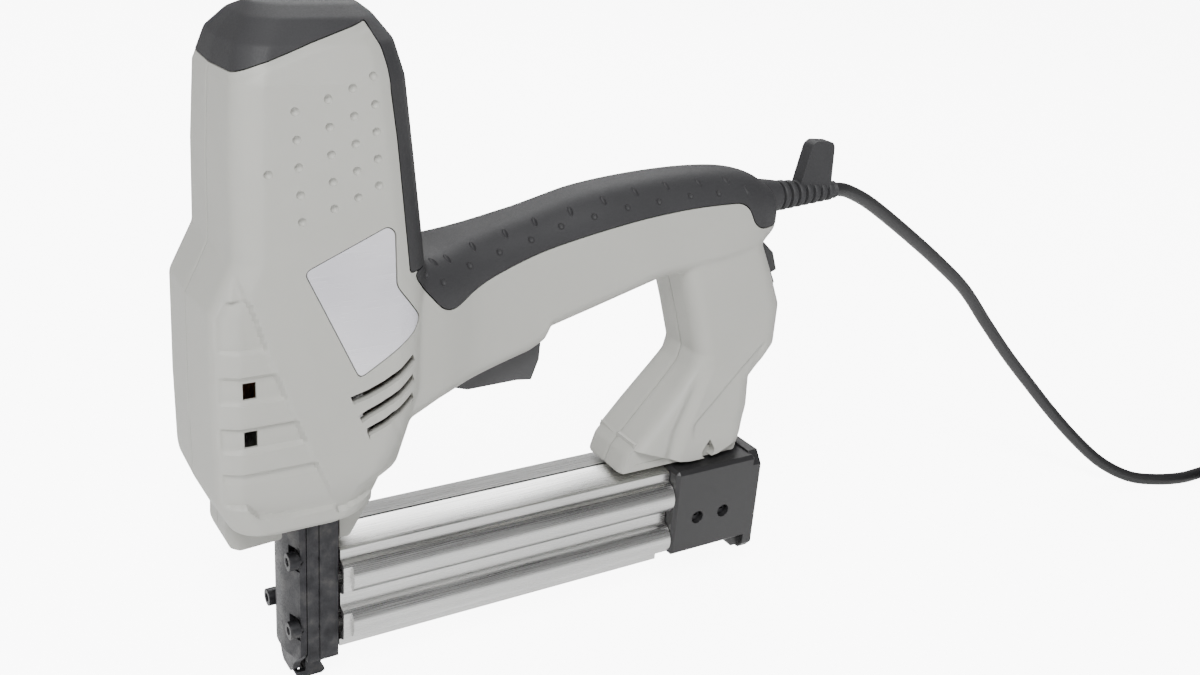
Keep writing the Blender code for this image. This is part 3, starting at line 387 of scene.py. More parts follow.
def section_ring(shape, upright, station, low, high, half_width, low_radius, high_radius, bow, steps):
    """One rounded section, as a closed run of edges."""
    ring = []
    corners = (
        (low + low_radius, -half_width + low_radius, low_radius, 180),
        (high - high_radius, -half_width + high_radius, high_radius, 270),
        (high - high_radius, half_width - high_radius, high_radius, 0),
        (low + low_radius, half_width - low_radius, low_radius, 90),
    )
    for run_centre, across_centre, radius, first in corners:
        for step in range(steps + 1):
            turn = math.radians(first + 90 * step / steps)
            run, across = run_centre + radius * math.cos(turn), across_centre + radius * math.sin(turn)
            if run < run_centre:
                run += bow * (across / half_width) ** 2
            ring.append(shape.verts.new((run, across, station) if upright else (station, across, run)))
    middle = ring[-1].co.lerp(ring[0].co, 0.5)
    middle[0 if upright else 2] = low
    ring.append(shape.verts.new(middle))
    return [shape.edges.new(pair) for pair in zip(ring, ring[1:] + ring[:1])]


def section_loft(shape, sections, upright, inset, radii, bow=0.0, steps=10):
    """A closed form through rounded sections, all drawn in by inset."""
    first, last = sections[0][0] + inset, sections[-1][0] - inset
    rings = []
    for station, low, high, half_width in sections:
        station = min(max(station, first), last)
        low_radius, high_radius = (max(0.6, min(radius, half_width - 1) - inset) for radius in radii)
        rings.append(section_ring(
            shape, upright, station, low + inset, high - inset, half_width - inset, low_radius, high_radius,
            bow, steps,
        ))
    for ring, above in zip(rings, rings[1:]):
        bmesh.ops.bridge_loops(shape, edges=ring + above)
    for ring in (rings[0], rings[-1]):
        bmesh.ops.contextual_create(shape, geom=ring)




def fuller(sections, steps=4):
    """More sections between those given, with the top's line and the width on smooth curves."""
    made = []
    padded = [sections[0], *sections, sections[-1]]
    for before, first, second, after in zip(padded, padded[1:], padded[2:], padded[3:]):
        for number in range(steps):
            t = number / steps
            row = [a + (b - a) * t for a, b in zip(first, second)]
            for item in (2, 3):
                slope_in = (second[item] - before[item]) / (second[0] - before[0])
                slope_out = (after[item] - first[item]) / (after[0] - first[0])
                span = second[0] - first[0]
                row[item] = (
                    (2 * t**3 - 3 * t**2 + 1) * first[item] + (t**3 - 2 * t**2 + t) * span * slope_in
                    + (3 * t**2 - 2 * t**3) * second[item] + (t**3 - t**2) * span * slope_out
                )
            made.append(tuple(row))
    return [*made, sections[-1]]


LOFTS = {
    "head": (HEAD_SECTIONS, True, (9, 16), 2.0),
    "handle": (fuller(HANDLE_SECTIONS), False, (8, 14), 0.0),
    "leg": (LEG_SECTIONS, True, (7, 9), 0.0),
}


def helper(name, shape):
    """A closed form in metres that is never shown, for cutting or keeping."""
    bmesh.ops.remove_doubles(shape, verts=shape.verts, dist=1e-3)
    bmesh.ops.triangulate(shape, faces=shape.faces[:])
    bmesh.ops.recalc_face_normals(shape, faces=shape.faces[:])
    bmesh.ops.scale(shape, vec=(MM, MM, MM), verts=shape.verts)
    mesh = bpy.data.meshes.new(name)
    shape.to_mesh(mesh)
    shape.free()
    made = bpy.data.objects.new(name, mesh)
    bpy.context.scene.collection.objects.link(made)
    HELPERS.append(made)
    return made


HELPERS = []


def loft_helper(part, inset):
    """The head's, the handle's or the leg's form, drawn in by inset."""
    sections, upright, radii, bow = LOFTS[part]
    shape = bmesh.new()
    section_loft(shape, sections, upright, inset, radii, bow, 6)
    return helper(f"{part}_in_{inset}", shape)


def applied(piece):
    """Takes a piece's modifiers into its mesh."""
    evaluated = piece.evaluated_get(bpy.context.evaluated_depsgraph_get())
    mesh = bpy.data.meshes.new_from_object(evaluated)
    piece.modifiers.clear()
    piece.data = mesh
    return piece


def shaped(piece, operation, *others):
    """Cuts others from a piece, joins them to it or keeps what is inside them."""
    for other in others:
        change = piece.modifiers.new(other.name, "BOOLEAN")
        change.operation = operation
        change.solver = "MANIFOLD"
        change.object = other
    return applied(piece)


def outline_helper(name, outline, low, high, plane="XZ"):
    """A flat outline given a thickness from low to high across its plane."""
    shape = bmesh.new()
    if plane == "XZ":
        corners = [shape.verts.new((x, low, z)) for x, z in outline]
        depth = (0, high - low, 0)
    else:
        corners = [shape.verts.new((low, y, z)) for y, z in outline]
        depth = (high - low, 0, 0)
    side = shape.faces.new(corners)
    grown = bmesh.ops.extrude_face_region(shape, geom=[side])["geom"]
    bmesh.ops.translate(shape, vec=depth, verts=[v for v in grown if isinstance(v, bmesh.types.BMVert)])
    return helper(name, shape)


def box_helper(name, low, high):
    """A box between two corners."""
    shape = bmesh.new()
    bmesh.ops.create_cube(shape, size=1)
    low, high = Vector(low), Vector(high)
    bmesh.ops.scale(shape, vec=high - low, verts=shape.verts)
    bmesh.ops.translate(shape, vec=(high + low) / 2, verts=shape.verts)
    return helper(name, shape)


form_shape = bmesh.new()
for sections, upright, radii, bow in LOFTS.values():
    section_loft(form_shape, sections, upright, 0, radii, bow)
form = helper("outer_form", form_shape)
merging = form.modifiers.new("merge", "REMESH")
merging.mode = "VOXEL"
merging.voxel_size = 0.0008
softening = form.modifiers.new("soften", "SMOOTH")
softening.factor = 0.5
softening.iterations = 6
applied(form)

# ---- Moulded detail -----------------------------------------------------------------------------------------
# What the tool maker cut into both halves: the raised sash beside the name plate, the stepped ribs round the
# square vents, the skirt round the head's foot, the parting line and the folds of the leg.
CAP_EDGE = [(-28, 238.5), (-20.3, 242), (-3.4, 247.8), (17.8, 253.6)]
SASH_EDGE = [(178, -30), (162, -24.5), (150, -21), (134.7, -15.7), (112.6, -7.4), (91, 1.5), (60, 12)]
RIBS = ((142, 151), (124, 133), (107, 115.5))


def along_list(points, at):
    """The second value at a first value, on the straight lines between points."""
    points = sorted(points)
    if at <= points[0][0]:
        return points[0][1]
    for (start, low), (end, high) in zip(points, points[1:]):
        if at <= end:
            return low + (high - low) * (at - start) / (end - start)
    return points[-1][1]


def step(value, edge, width=0.9):
    """0 below an edge and 1 above it, over width millimetres."""
    return eased((value - edge) / width + 0.5)


def band(value, low, high, width=0.9):
    """1 between two edges and 0 past them."""
    return step(value, low, width) * (1 - step(value, high, width))


def head_relief(x, z):
    """How far the head's side is sunk, in millimetres, at a point of the side view."""
    sash = along_list(SASH_EDGE, z)
    left = 1 - step(x, sash, 1.2)
    ribbed = 0.0
    for low, high in RIBS:
        ribbed = max(ribbed, band(z, low, high, 1.1))
    depth = left * band(z, 104, 168, 1.5) * (2.6 - 1.5 * ribbed)
    depth += left * band(z, 88, 104, 1.5) * 2.2
    notch = band(z, 153, 177, 3) * eased(1 - abs(x - sash + 1.2) / 4.5)
    depth += 2.0 * notch * left
    foot = along_list([(-29, 95), (-24.8, 90), (0, 84.9), (15, 88.2), (25, 93)], x)
    depth += (1 - left) * 2.2 * step(z, foot, 1.0) * eased(1 - (z - foot) / 16)
    depth *= step(z, foot, 1.0) if x < sash else 1.0
    depth += 0.35 * band(x + (z - 150) * 0.44, 8.5, 10.5, 1.6) * band(z, 92, 128, 8)
    return min(depth, 2.7)


def leg_relief(x, z):
    """How far the leg's side is sunk, in millimetres."""
    depth = 0.0
    fold = along_list([(64, 157), (80, 160), (98, 168), (112, 174)], z)
    depth += 2.0 * eased(1 - abs(x - fold) / 5.5) * band(z, 60, 104, 14)
    crease = 112 - (200 - x) * 0.95
    depth += 1.2 * (1 - step(z, crease, 1.2)) * band(x, 168, 202, 3) * step(z, 76, 6)
    return depth


shape = bmesh.new()
shape.from_mesh(form.data)
shape.normal_update()
outer_tree = BVHTree.FromBMesh(shape)
moved = []
for corner in shape.verts:
    x, y, z = corner.co / MM
    normal = corner.normal
    side = 1 if normal.y > 0 else -1
    facing = eased((abs(normal.y) - 0.45) / 0.4)
    depth = 0.0
    if z < 181 and x < 42:
        depth += facing * head_relief(x, z)
    elif z > 230 and x < 20:
        depth += 0.45 * step(z, along_list(CAP_EDGE, x) - 2.6, 0.8)
    elif x > 125 and z < 116:
        depth += facing * leg_relief(x, z)
    parting = eased(1 - abs(y) / 1.1)
    shift = -normal * (0.45 * parting)
    shift.y -= side * depth
    moved.append(shift * MM)
for corner, shift in zip(shape.verts, moved):
    corner.co += shift
bmesh.ops.smooth_vert(shape, verts=shape.verts, factor=0.25, use_axis_x=True, use_axis_y=True, use_axis_z=True)
detailed_mesh = bpy.data.meshes.new("detailed_form")
shape.to_mesh(detailed_mesh)
shape.free()


def surface_y(x, z, side):
    """The y of the outer form's side at a point of the side view, with its outward direction."""
    hit, normal, _, _ = outer_tree.ray_cast(Vector((x * MM, side * 0.1, z * MM)), Vector((0, -side, 0)))
    return hit / MM, normal


# ---- Housing halves -----------------------------------------------------------------------------------------
# Two mouldings in light grey glass-filled nylon, closed by seven screws from the right. They hold the rubber,
# the plates and the works, with openings for the trigger, vents, nose, magazine, latch, rocker and lead.
FAR = 60  # how far the cutters reach to each side
GAP = 0.3  # between the two halves
CAP_OUTLINE = [
    (-60, 238.2), *CAP_EDGE, (19.2, 249), (20.7, 245.5), (21.9, 240), (22.3, 233), (24.4, 218), (26.2, 200.5),
    (28.1, 182.3), (29.2, 171.5), (47, 171.5), (47, 200), (70, 275), (-60, 275),
]
GRIP_OUTLINE = [
    (30.3, 171.1), (36.5, 163), (47, 151.5), (61, 160), (84, 168), (109, 173.2), (134, 177.2), (159, 179.3),
    (183, 179), (189.5, 166.5), (230, 166.5), (230, 215), (47.4, 215), (47.4, 171.1),
]


def rounded_outline(points, radius, steps=4):
    """An outline with its corners rounded."""
    made = []
    count = len(points)
    for number, here in enumerate(points):
        before, after = Vector(points[number - 1]), Vector(points[(number + 1) % count])
        here = Vector(here)
        reach = min(radius, (before - here).length * 0.45, (after - here).length * 0.45)
        start, end = here + (before - here).normalized() * reach, here + (after - here).normalized() * reach
        for step_number in range(steps + 1):
            t = step_number / steps
            made.append(tuple(start * (1 - t) ** 2 + here * 2 * t * (1 - t) + end * t**2))
    return made


def grown(outline, distance):
    """A closed outline moved outwards by a distance, corner by corner."""
    points = [Vector(point) for point in outline]
    turn = sum(a.x * b.y - b.x * a.y for a, b in zip(points, points[1:] + points[:1]))
    side = 1 if turn > 0 else -1
    made = []
    for before, here, after in zip(points[-1:] + points[:-1], points, points[1:] + points[:1]):
        first, second = (here - before).normalized(), (after - here).normalized()
        out_first = Vector((first.y, -first.x)) * side
        out_second = Vector((second.y, -second.x)) * side
        made.append(tuple(here + (out_first + out_second) * (distance / (1 + out_first.dot(out_second)))))
    return made


LABEL_OUTLINE = rounded_outline(
    [(-8, 176), (20.5, 188.5), (23, 186.5), (23.5, 167.5), (33.5, 154.5), (31.5, 150.2), (21, 142.8), (10.5, 136.4)],
    2.2,
)
CAP_OUTLINE = rounded_outline(CAP_OUTLINE, 1.2)
GRIP_OUTLINE = rounded_outline(GRIP_OUTLINE, 14, 6)
cap_prism = outline_helper("cap_prism", CAP_OUTLINE, -FAR, FAR)
grip_prism = outline_helper("grip_prism", GRIP_OUTLINE, -FAR, FAR)
cap_bed = outline_helper("cap_bed", grown(CAP_OUTLINE, 0.45), -FAR, FAR)
grip_bed = outline_helper("grip_bed", grown(GRIP_OUTLINE, 0.5), -FAR, FAR)
rubber_lofts = [loft_helper(part, RUBBER + GAP) for part in LOFTS]
shaped(cap_bed, "DIFFERENCE", *rubber_lofts)
shaped(grip_bed, "DIFFERENCE", *rubber_lofts)
label_bed = outline_helper("label_bed", grown(LABEL_OUTLINE, 0.45), -FAR, FAR)
shaped(label_bed, "DIFFERENCE", *[loft_helper(part, 1.9) for part in ("head", "handle")])
backings = [
    outline_helper("cap_backing", grown(CAP_OUTLINE, 3), -FAR, FAR),
    outline_helper("grip_backing", grown(GRIP_OUTLINE, 3), -FAR, FAR),
]
hollows = [shaped(loft_helper(part, WALL + 0.8), "DIFFERENCE", *backings) for part in LOFTS]
hollows += [loft_helper(part, UNDER_RUBBER) for part in LOFTS]

openings = []
for row, drop in enumerate((0, -7.5, -14.5)):
    ends = [(7 + 3 * row, 130), (13, 131.6), (19, 134), (25, 137.3), (30.5, 141.5)]
    arc = [(x, z + drop) for x, z in ends if x >= 7 + 3 * row]
    openings.append(
        outline_helper(f"vent_{row}", [*arc, *[(x + 1.1, z - 3.1) for x, z in reversed(arc)]], -FAR, FAR)
    )
for row, height in enumerate((137, 119.5)):
    openings.append(box_helper(f"square_vent_{row}", (-29, -FAR, height - 3), (-24.5, FAR, height + 3)))
trigger_slot = box_helper("trigger_slot", (52.4, -9.6, 100), (96, 9.6, 139.5))
nose_slot = box_helper("nose_slot", (-10.2, -15.5, 50), (9.8, 15.5, 90))
latch_slot = box_helper("latch_slot", (167, -5.4, 50), (215, 5.4, 83))
magazine_place = box_helper("magazine_place", (8, -15.6, 10), (205, 15.6, 63))


def rod_helper(name, start, end, radius, sides=32):
    """A round rod from one point to another."""
    shape = bmesh.new()
    start, end = Vector(start), Vector(end)
    turn = (end - start).to_track_quat("Z", "Y").to_matrix().to_4x4()
    bmesh.ops.create_cone(
        shape, cap_ends=True, segments=sides, radius1=radius, radius2=radius, depth=(end - start).length,
        matrix=Matrix.Translation((start + end) / 2) @ turn,
    )
    return helper(name, shape)


cord_hole = rod_helper("cord_hole", (185, 0, 174.6), (240, 0, 174.6), 8.8)
ROCKER_PIVOT, ROCKER_SLOPE = (202.4, 147.1), math.radians(-27)


def on_slope(out, up):
    """A point given outwards and up the leg's back from the rocker's axis, in X and Z."""
    return (
        ROCKER_PIVOT[0] + out * math.cos(ROCKER_SLOPE) + up * math.sin(ROCKER_SLOPE),
        ROCKER_PIVOT[1] - out * math.sin(ROCKER_SLOPE) + up * math.cos(ROCKER_SLOPE),
    )


rocker_slot = outline_helper(
    "rocker_slot", [on_slope(out, up) for out, up in ((-20, -11.5), (20, -11.5), (20, 11.5), (-20, 11.5))],
    -8.8, 8.8,
)
teardrop_outline = [
    (177 + 3.3 * math.cos(math.radians(150 + 240 * n / 16)), 67 + 3.3 * math.sin(math.radians(150 + 240 * n / 16)))
    for n in range(17)
]
teardrop = outline_helper("teardrop", [*teardrop_outline, (177, 73.2)], -FAR, -13.6)
LEG_WAVE = [
    (125, 74.5), (136, 74), (143, 73), (150, 70.4), (157, 67), (162, 65), (168, 64), (176, 64), (183, 65.2), (190, 68.5),
    (205, 70),
]
leg_foot = box_helper("leg_foot", (140, -13.2, 63.2), (192, 13.2, 76))
wave_outline = [(120, 50), (210, 50), *reversed(LEG_WAVE)]
under_wave = [
    outline_helper(f"under_wave_{side}", wave_outline, *sorted((side * 13.4, side * FAR))) for side in (-1, 1)
]
DIMPLES = [(-19.1, 209)]
for column_x, column_z in ((-10, 228), (0.7, 231.4), (8.8, 234.4), (15.9, 237.8)):
    DIMPLES += [(column_x + 0.35 * number, column_z - 8.75 * number) for number in range(5)]


def dimples(side):
    """The shallow round dots in the head's side, as one cutter."""
    shape = bmesh.new()
    for x, z in DIMPLES:
        hit, normal = surface_y(x, z, side)
        bmesh.ops.create_uvsphere(
            shape, u_segments=20, v_segments=12, radius=1.5, matrix=Matrix.Translation(hit + normal * 0.35)
        )
    return helper(f"dimples_{side}", shape)


tab = outline_helper("tab", [(10.2, 86), (23, 86), (22.5, 78), (14, 64), (10.2, 64)], -13, 13)
chin_outline = rounded_outline([(-30.5, 88), (-31, 72), (-29.5, 67.5), (-26, 65.5), (-10.5, 66.5), (-10.5, 88)], 1.2)
chin = outline_helper("chin", chin_outline, -9.5, 9.5)
HOUSING_SCREWS = [(-24, 226), (-31, 100), (24, 102), (54, 158), (152, 176), (190, 116), (152, 79)]

grey = plastic("grey_moulding", (0.40, 0.40, 0.372), 0.5, 0.035, 0.42, 0.025, 0.4)


def housing_half(name, side, node):
    """One moulding: the form on its side of the parting plane, hollowed out and opened."""
    half = bpy.data.objects.new(name, detailed_mesh.copy())
    bpy.context.scene.collection.objects.link(half)
    shaped(half, "UNION", chin, tab)
    low, high = sorted((side * GAP / 2, side * FAR))
    shaped(half, "INTERSECT", box_helper(f"{name}_side", (-70, low, 40), (240, high, 280)))
    shaped(half, "DIFFERENCE", cap_bed, grip_bed, label_bed, *hollows)
    foot_half = box_helper(f"{name}_foot", (-70, low, 40), (240, high, 280))
    shaped(foot_half, "INTERSECT", leg_foot)
    shaped(half, "UNION", foot_half)
    shaped(half, "DIFFERENCE", *under_wave)
    if side > 0:
        posts = []
        for number, (x, z) in enumerate(HOUSING_SCREWS):
            hit, _ = surface_y(x, z, side)
            post = rod_helper(f"post_{number}", (x, GAP / 2, z), (x, hit.y - 1.5, z), 3.9)
            within = "head" if number < 3 else "handle" if number == 3 else "leg"
            posts.append(shaped(post, "INTERSECT", loft_helper(within, 1)))
        shaped(half, "UNION", *posts)
        shaped(half, "DIFFERENCE", *[
            rod_helper(f"sink_{number}", (x, 8.7, z), (x, FAR, z), 2.9)
            for number, (x, z) in enumerate(HOUSING_SCREWS)
        ])
    shaped(half, "DIFFERENCE", trigger_slot, nose_slot, rocker_slot, cord_hole, latch_slot, magazine_place,
           *openings, dimples(side))
    if side < 0:
        shaped(half, "DIFFERENCE", teardrop)
    return put(half, grey, TOOL, (node,), 30)


housing_half("housing_shell_left", -1, "housing_left")
housing_half("housing_shell_right", 1, "housing_right")

# ---- Rubber cap and grip ------------------------------------------------------------------------------------
# Soft black rubber moulded over the head's top and back and along the top of the handle, with thumb dimples.
rubber = plastic("soft_rubber", (0.030, 0.030, 0.032), 0.62, 0.05, 0.55, 0.14, 0.35)
inner_rubber = [loft_helper(part, RUBBER) for part in LOFTS]
GRIP_SLOTS = [  # x and z of the long dimples over the grip's shoulder
    (43.6, 169.4), (49.4, 169.6), (60.9, 172), (74.6, 175), (87.2, 178), (101.8, 181), (116.1, 184), (130.7, 186),
    (145.2, 187.2), (160.4, 187.4), (174.2, 187.2), (183, 183.4),
]
GRIP_RINGS = [  # and of the round ones below them
    (38.1, 167.2), (44.8, 163.6), (57.2, 166.9), (70.1, 169.9), (83.5, 172.9), (96.4, 176.6), (110.4, 179.1),
    (125.2, 181.3), (139.6, 182.4), (154.6, 183.4), (168.3, 183.4),
]
dots_shape = bmesh.new()
for side in (-1, 1):
    for row, places in enumerate((GRIP_SLOTS, GRIP_RINGS)):
        for x, z in places:
            hit, normal = surface_y(x, z, side)
            facing = normal.to_track_quat("Z", "X").to_matrix().to_4x4()
            slant = Matrix.Rotation(math.radians(-12 * side), 4, "Z")
            size = Matrix.Diagonal((2.7, 1.05, 1.3, 1) if row == 0 else (1.5, 1.4, 1.2, 1))
            bmesh.ops.create_uvsphere(
                dots_shape, u_segments=16, v_segments=10, radius=1,
                matrix=Matrix.Translation(hit + normal * 0.35) @ facing @ slant @ size,
            )
grip_dots = helper("grip_dots", dots_shape)
for name, prism, node in (("rubber_cap", cap_prism, "top_cap"), ("rubber_grip", grip_prism, "handle_grip")):
    piece = bpy.data.objects.new(name, form.data.copy())
    bpy.context.scene.collection.objects.link(piece)
    shaped(piece, "INTERSECT", prism)
    shaped(piece, "DIFFERENCE", *inner_rubber)
    if node == "handle_grip":
        shaped(piece, "DIFFERENCE", cord_hole, grip_dots)
    put(piece, rubber, TOOL, (node,), 35)

# ---- Name plates --------------------------------------------------------------------------------------------
# Thin brushed foil plates set in both sides of the head, left plain.
foil, foil_nodes, foil_links, foil_shader = node_material("brushed_foil")
foil_place = texture_place(foil_nodes, foil_links, (1, 1, 1), (0, math.radians(-25), 0))
foil_lines = speckle(foil_nodes, foil_links, texture_place(foil_nodes, foil_links, (0.03, 1, 1)), 2600, 2.0)
foil_tone = speckle(foil_nodes, foil_links, foil_place, 30, 1.0)
foil_shade = tinted(foil_nodes, foil_links, foil_tone, [(0.62, 0.61, 0.66), (0.72, 0.71, 0.75)])
foil_links.new(foil_shade, foil_shader.inputs["Base Color"])
foil_links.new(spread(foil_nodes, foil_links, foil_lines, 0.26, 0.40), foil_shader.inputs["Roughness"])
foil_links.new(relief(foil_nodes, foil_links, foil_lines, 0.00001, 0.5), foil_shader.inputs["Normal"])
foil_shader.inputs["Metallic"].default_value = 0.75
label_inner = [loft_helper(part, 1.5) for part in ("head", "handle")]
for name, low, high, node in (
    ("plate_left", -FAR, -20, "label_plate_left"), ("plate_right", 20, FAR, "label_plate_right"),
):
    piece = bpy.data.objects.new(name, form.data.copy())
    bpy.context.scene.collection.objects.link(piece)
    shaped(piece, "INTERSECT", outline_helper(f"{name}_prism", LABEL_OUTLINE, low, high))
    shaped(piece, "DIFFERENCE", *label_inner)
    for corner in piece.data.vertices:
        corner.co.y -= math.copysign(0.35 * MM, corner.co.y)
    put(piece, foil, TOOL, (node,), 30)

# ---- Nose ---------------------------------------------------------------------------------------------------
# Blackened steel: a block with the blade's passage, a cast front held by four socket screws, and the tip.


def blackened_steel(name, rough):
    """Steel with a worn black oxide, rough where it is cast."""
    made, nodes, links, shader = node_material(name)
    place = texture_place(nodes, links)
    broad = speckle(nodes, links, place, 140, 4.0)
    fine = speckle(nodes, links, place, 1500, 3.0)
    shades = [(0.012, 0.012, 0.014), (0.03, 0.03, 0.033), (0.07, 0.068, 0.066)]
    links.new(tinted(nodes, links, broad, shades, 0.3, 0.75), shader.inputs["Base Color"])
    links.new(spread(nodes, links, fine, 0.3, 0.55), shader.inputs["Roughness"])
    coarse = relief(nodes, links, broad, 0.00025, rough)
    links.new(relief(nodes, links, fine, 0.00006, 0.5, coarse), shader.inputs["Normal"])
    shader.inputs["Metallic"].default_value = 0.55
    return made


nose_black = blackened_steel("nose_black", 0.7)
screw_black = blackened_steel("screw_black", 0.1)
dressed_copy("nose_block", "nose_body", nose_black, TOOL, 0.35)
dressed_copy("nose_front", "nose_casting", nose_black, TOOL, 0.5)
dressed_copy("tip", "nose_tip", nose_black, TOOL, 0.25)
for number in range(1, 5):
    dressed_copy(f"socket_screw_{number}", f"nose_screw_{number}", screw_black, TOOL, 0.25)

# ---- Magazine -----------------------------------------------------------------------------------------------
# An aluminium extrusion with two half-round ribs down each side. It slides back off the nose for loading.


def drawn_aluminium(name):
    """Bare aluminium with fine lines along X from the die."""
    made, nodes, links, shader = node_material(name)
    lines = speckle(nodes, links, texture_place(nodes, links, (0.012, 1, 1)), 2400, 4.0, 0.6)
    broad = speckle(nodes, links, texture_place(nodes, links, (0.1, 1, 1)), 160, 2.0)
    links.new(tinted(nodes, links, broad, [(0.56, 0.56, 0.55), (0.64, 0.64, 0.63)]), shader.inputs["Base Color"])
    links.new(spread(nodes, links, lines, 0.22, 0.36), shader.inputs["Roughness"])
    links.new(relief(nodes, links, lines, 0.000006, 0.5), shader.inputs["Normal"])
    shader.inputs["Metallic"].default_value = 1.0
    return made


aluminium = drawn_aluminium("drawn_aluminium")
BULGE_Y, BULGE_RADIUS, BULGE_HEIGHTS, WALL_Y = 13.4, 7.5, (27.8, 48.2), 15
bulge_angle = math.acos((WALL_Y - BULGE_Y) / BULGE_RADIUS)
side_line = [(0.6, 62), (13.6, 60.1), (15, 59.4)]
for height in reversed(BULGE_HEIGHTS):
    side_line += [
        (BULGE_Y + BULGE_RADIUS * math.cos(bulge_angle - 2 * bulge_angle * n / 28),
         height + BULGE_RADIUS * math.sin(bulge_angle - 2 * bulge_angle * n / 28))
        for n in range(29)
    ]
side_line += [(15, 20.3), (3.6, 20.3), (3.6, 52)]
section = [(-0.6, 59.6), (0.6, 59.6), *side_line, *[(-y, z) for y, z in reversed(side_line)]]
magazine_shape = bmesh.new()
profile = magazine_shape.faces.new([magazine_shape.verts.new((9.7, y, z)) for y, z in section])
long_part = bmesh.ops.extrude_face_region(magazine_shape, geom=[profile])["geom"]
bmesh.ops.translate(
    magazine_shape, vec=(149.3, 0, 0), verts=[v for v in long_part if isinstance(v, bmesh.types.BMVert)]
)
magazine = helper("magazine_blank", magazine_shape)
HELPERS.remove(magazine)
holes = [
    rod_helper(f"magazine_hole_{side}_{height}", (0, side * 12.9, height), (170, side * 12.9, height), 5, 40)
    for side in (-1, 1) for height in BULGE_HEIGHTS
]
flats = [
    box_helper("flat_left", (0, -30, 10), (13, -18.6, 70)), box_helper("flat_right", (0, 18.6, 10), (13, 30, 70)),
]
shaped(magazine, "DIFFERENCE", *holes, *flats)
magazine.name = "magazine"
put(magazine, aluminium, "drawer", ("magazine_extrusion",), 25)

# ---- Magazine end cap ---------------------------------------------------------------------------------------
# Black moulded cap over the magazine's rear with a flange to push on, held by four slotted screws.
cap_black = plastic("cap_black", (0.017, 0.017, 0.018), 0.4, 0.03, 0.5, 0.12, 0.5)
dressed_copy("end_cap", "rear_cap", cap_black, "drawer", 0.9, 3)
for number in range(1, 5):
    dressed_copy(f"cap_screw_dressed_{number}", f"cap_screw_{number}", screw_black, "drawer", 0.2)

# ---- Trigger, latch and rocker ------------------------------------------------------------------------------
# Dark moulded levers: the trigger under the handle, the magazine latch under the leg, the switch behind it.
lever_grey = plastic("lever_grey", (0.050, 0.050, 0.052), 0.5, 0.03, 0.45, 0.1, 0.4)
dressed_copy("trigger_lever", "trigger", lever_grey, "trigger", 1.4, 4)
dressed_copy("latch_dressed", "latch_lever", lever_grey, "latch", 0.6, 2)
dressed_copy("rocker_dressed", "power_rocker", cap_black, "power_rocker", 0.6, 3)
dressed_copy("bezel_dressed", "rocker_bezel", cap_black, TOOL, 0.5, 2)

# ---- Cord boot ----------------------------------------------------------------------------------------------
# Rubber strain relief: a smooth cone, seven ribs with gaps between them, and a tab to hang the lead from.
BOOT_START, BOOT_END, RIB_COUNT = 193, 243.6, 7
boot_profile = [(0, 0), (6, 0), (6, 3.5), (8.2, 4), (8.1, 8), (7.6, 12), (6.7, 17.5)]
first_rib, last_rib = 19, BOOT_END - BOOT_START - 1
pitch = (last_rib - first_rib) / RIB_COUNT
for rib in range(RIB_COUNT):
    start = first_rib + pitch * rib
    radius = 6.5 - 2.0 * rib / (RIB_COUNT - 1)
    boot_profile += [
        (radius - 1.9, start), (radius - 0.4, start + 0.25), (radius, start + 0.8), (radius, start + pitch * 0.55),
        (radius - 0.4, start + pitch * 0.55 + 0.5), (radius - 1.9, start + pitch * 0.72),
    ]
boot_profile += [(3.9, last_rib + 1), (0, last_rib + 1)]
boot_shape = bmesh.new()
boot_line = [boot_shape.verts.new((BOOT_START + distance, radius, 174.6)) for radius, distance in boot_profile]
for here, after in zip(boot_line, boot_line[1:]):
    boot_shape.edges.new((here, after))
bmesh.ops.spin(
    boot_shape, geom=boot_shape.verts[:] + boot_shape.edges[:], cent=(0, 0, 174.6), axis=(1, 0, 0),
    angle=math.tau, steps=48, use_merge=True,
)
boot = helper("boot_blank", boot_shape)
HELPERS.remove(boot)
boot_tab = outline_helper(
    "boot_tab",
    rounded_outline([(221, 176), (222.5, 183), (225.5, 196), (228, 197.8), (237, 197), (238.4, 195), (239.5, 176)], 1.2),
    -3, 3,
)
shaped(boot, "UNION", boot_tab)
boot.name = "lead_boot"
put(boot, rubber, TOOL, ("cord_boot",), 40)

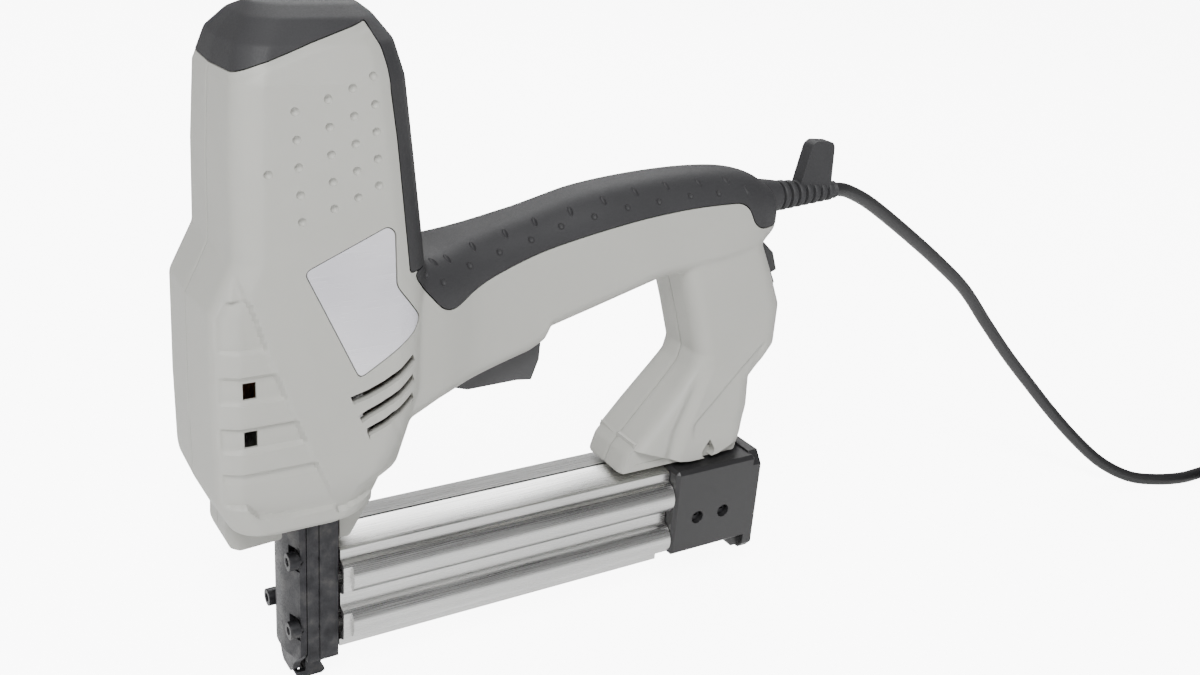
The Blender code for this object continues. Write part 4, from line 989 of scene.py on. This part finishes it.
# ---- Works --------------------------------------------------------------------------------------------------
# What lies inside: the solenoid and its plunger, the springs, pins and screws, and the electronics.


def metal(name, colour, roughness, stretch=(1, 1, 1)):
    """Bare metal with a fine grain."""
    made, nodes, links, shader = node_material(name)
    grain = speckle(nodes, links, texture_place(nodes, links, stretch), 1400, 3.0)
    links.new(tinted(nodes, links, grain, [tuple(0.85 * c for c in colour), colour]), shader.inputs["Base Color"])
    links.new(spread(nodes, links, grain, roughness - 0.06, roughness + 0.08), shader.inputs["Roughness"])
    links.new(relief(nodes, links, grain, 0.00002, 0.4), shader.inputs["Normal"])
    shader.inputs["Metallic"].default_value = 1.0
    return made


finishes = {
    "steel": metal("bright_steel", (0.55, 0.55, 0.56), 0.28),
    "copper": metal("copper_wire", (0.72, 0.32, 0.14), 0.35, (1, 1, 14)),
    "nylon": plastic("natural_nylon", (0.70, 0.67, 0.58), 0.5, 0.02, 0.5, 0.03),
    "green_board": plastic("board_lacquer", (0.02, 0.15, 0.06), 0.35, 0.02, 1.2, 0.2),
    "aluminium": aluminium,
    "black_rubber": rubber,
    "black_plastic": cap_black,
    "dark_plastic": lever_grey,
    "black_steel": screw_black,
}
INSIDE = {
    "steel": ["driver_blade", "plunger", "yoke_frame", "return_spring", "latch_pin", "latch_spring", "trigger_pin",
              "trigger_spring", "pusher_spring", "staple_strip", *[f"housing_screw_{n}" for n in range(1, 8)]],
    "copper": ["coil_winding"],
    "nylon": ["coil_bobbin", "terminal_block"],
    "green_board": ["control_board"],
    "aluminium": ["cap_insert", "heat_sink", "magazine_rail"],
    "black_rubber": ["lower_bumper", "upper_bumper"],
    "black_plastic": ["trigger_switch", "lead_end"],
    "dark_plastic": ["capacitor", "cord_clamp"],
    "black_steel": ["pusher"],
}
for finish_name, nodes_inside in INSIDE.items():
    for node in nodes_inside:
        node_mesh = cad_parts[node].data
        node_mesh.materials.clear()
        node_mesh.materials.append(finishes[finish_name])

for leftover in HELPERS:
    bpy.data.objects.remove(leftover, do_unlink=True)
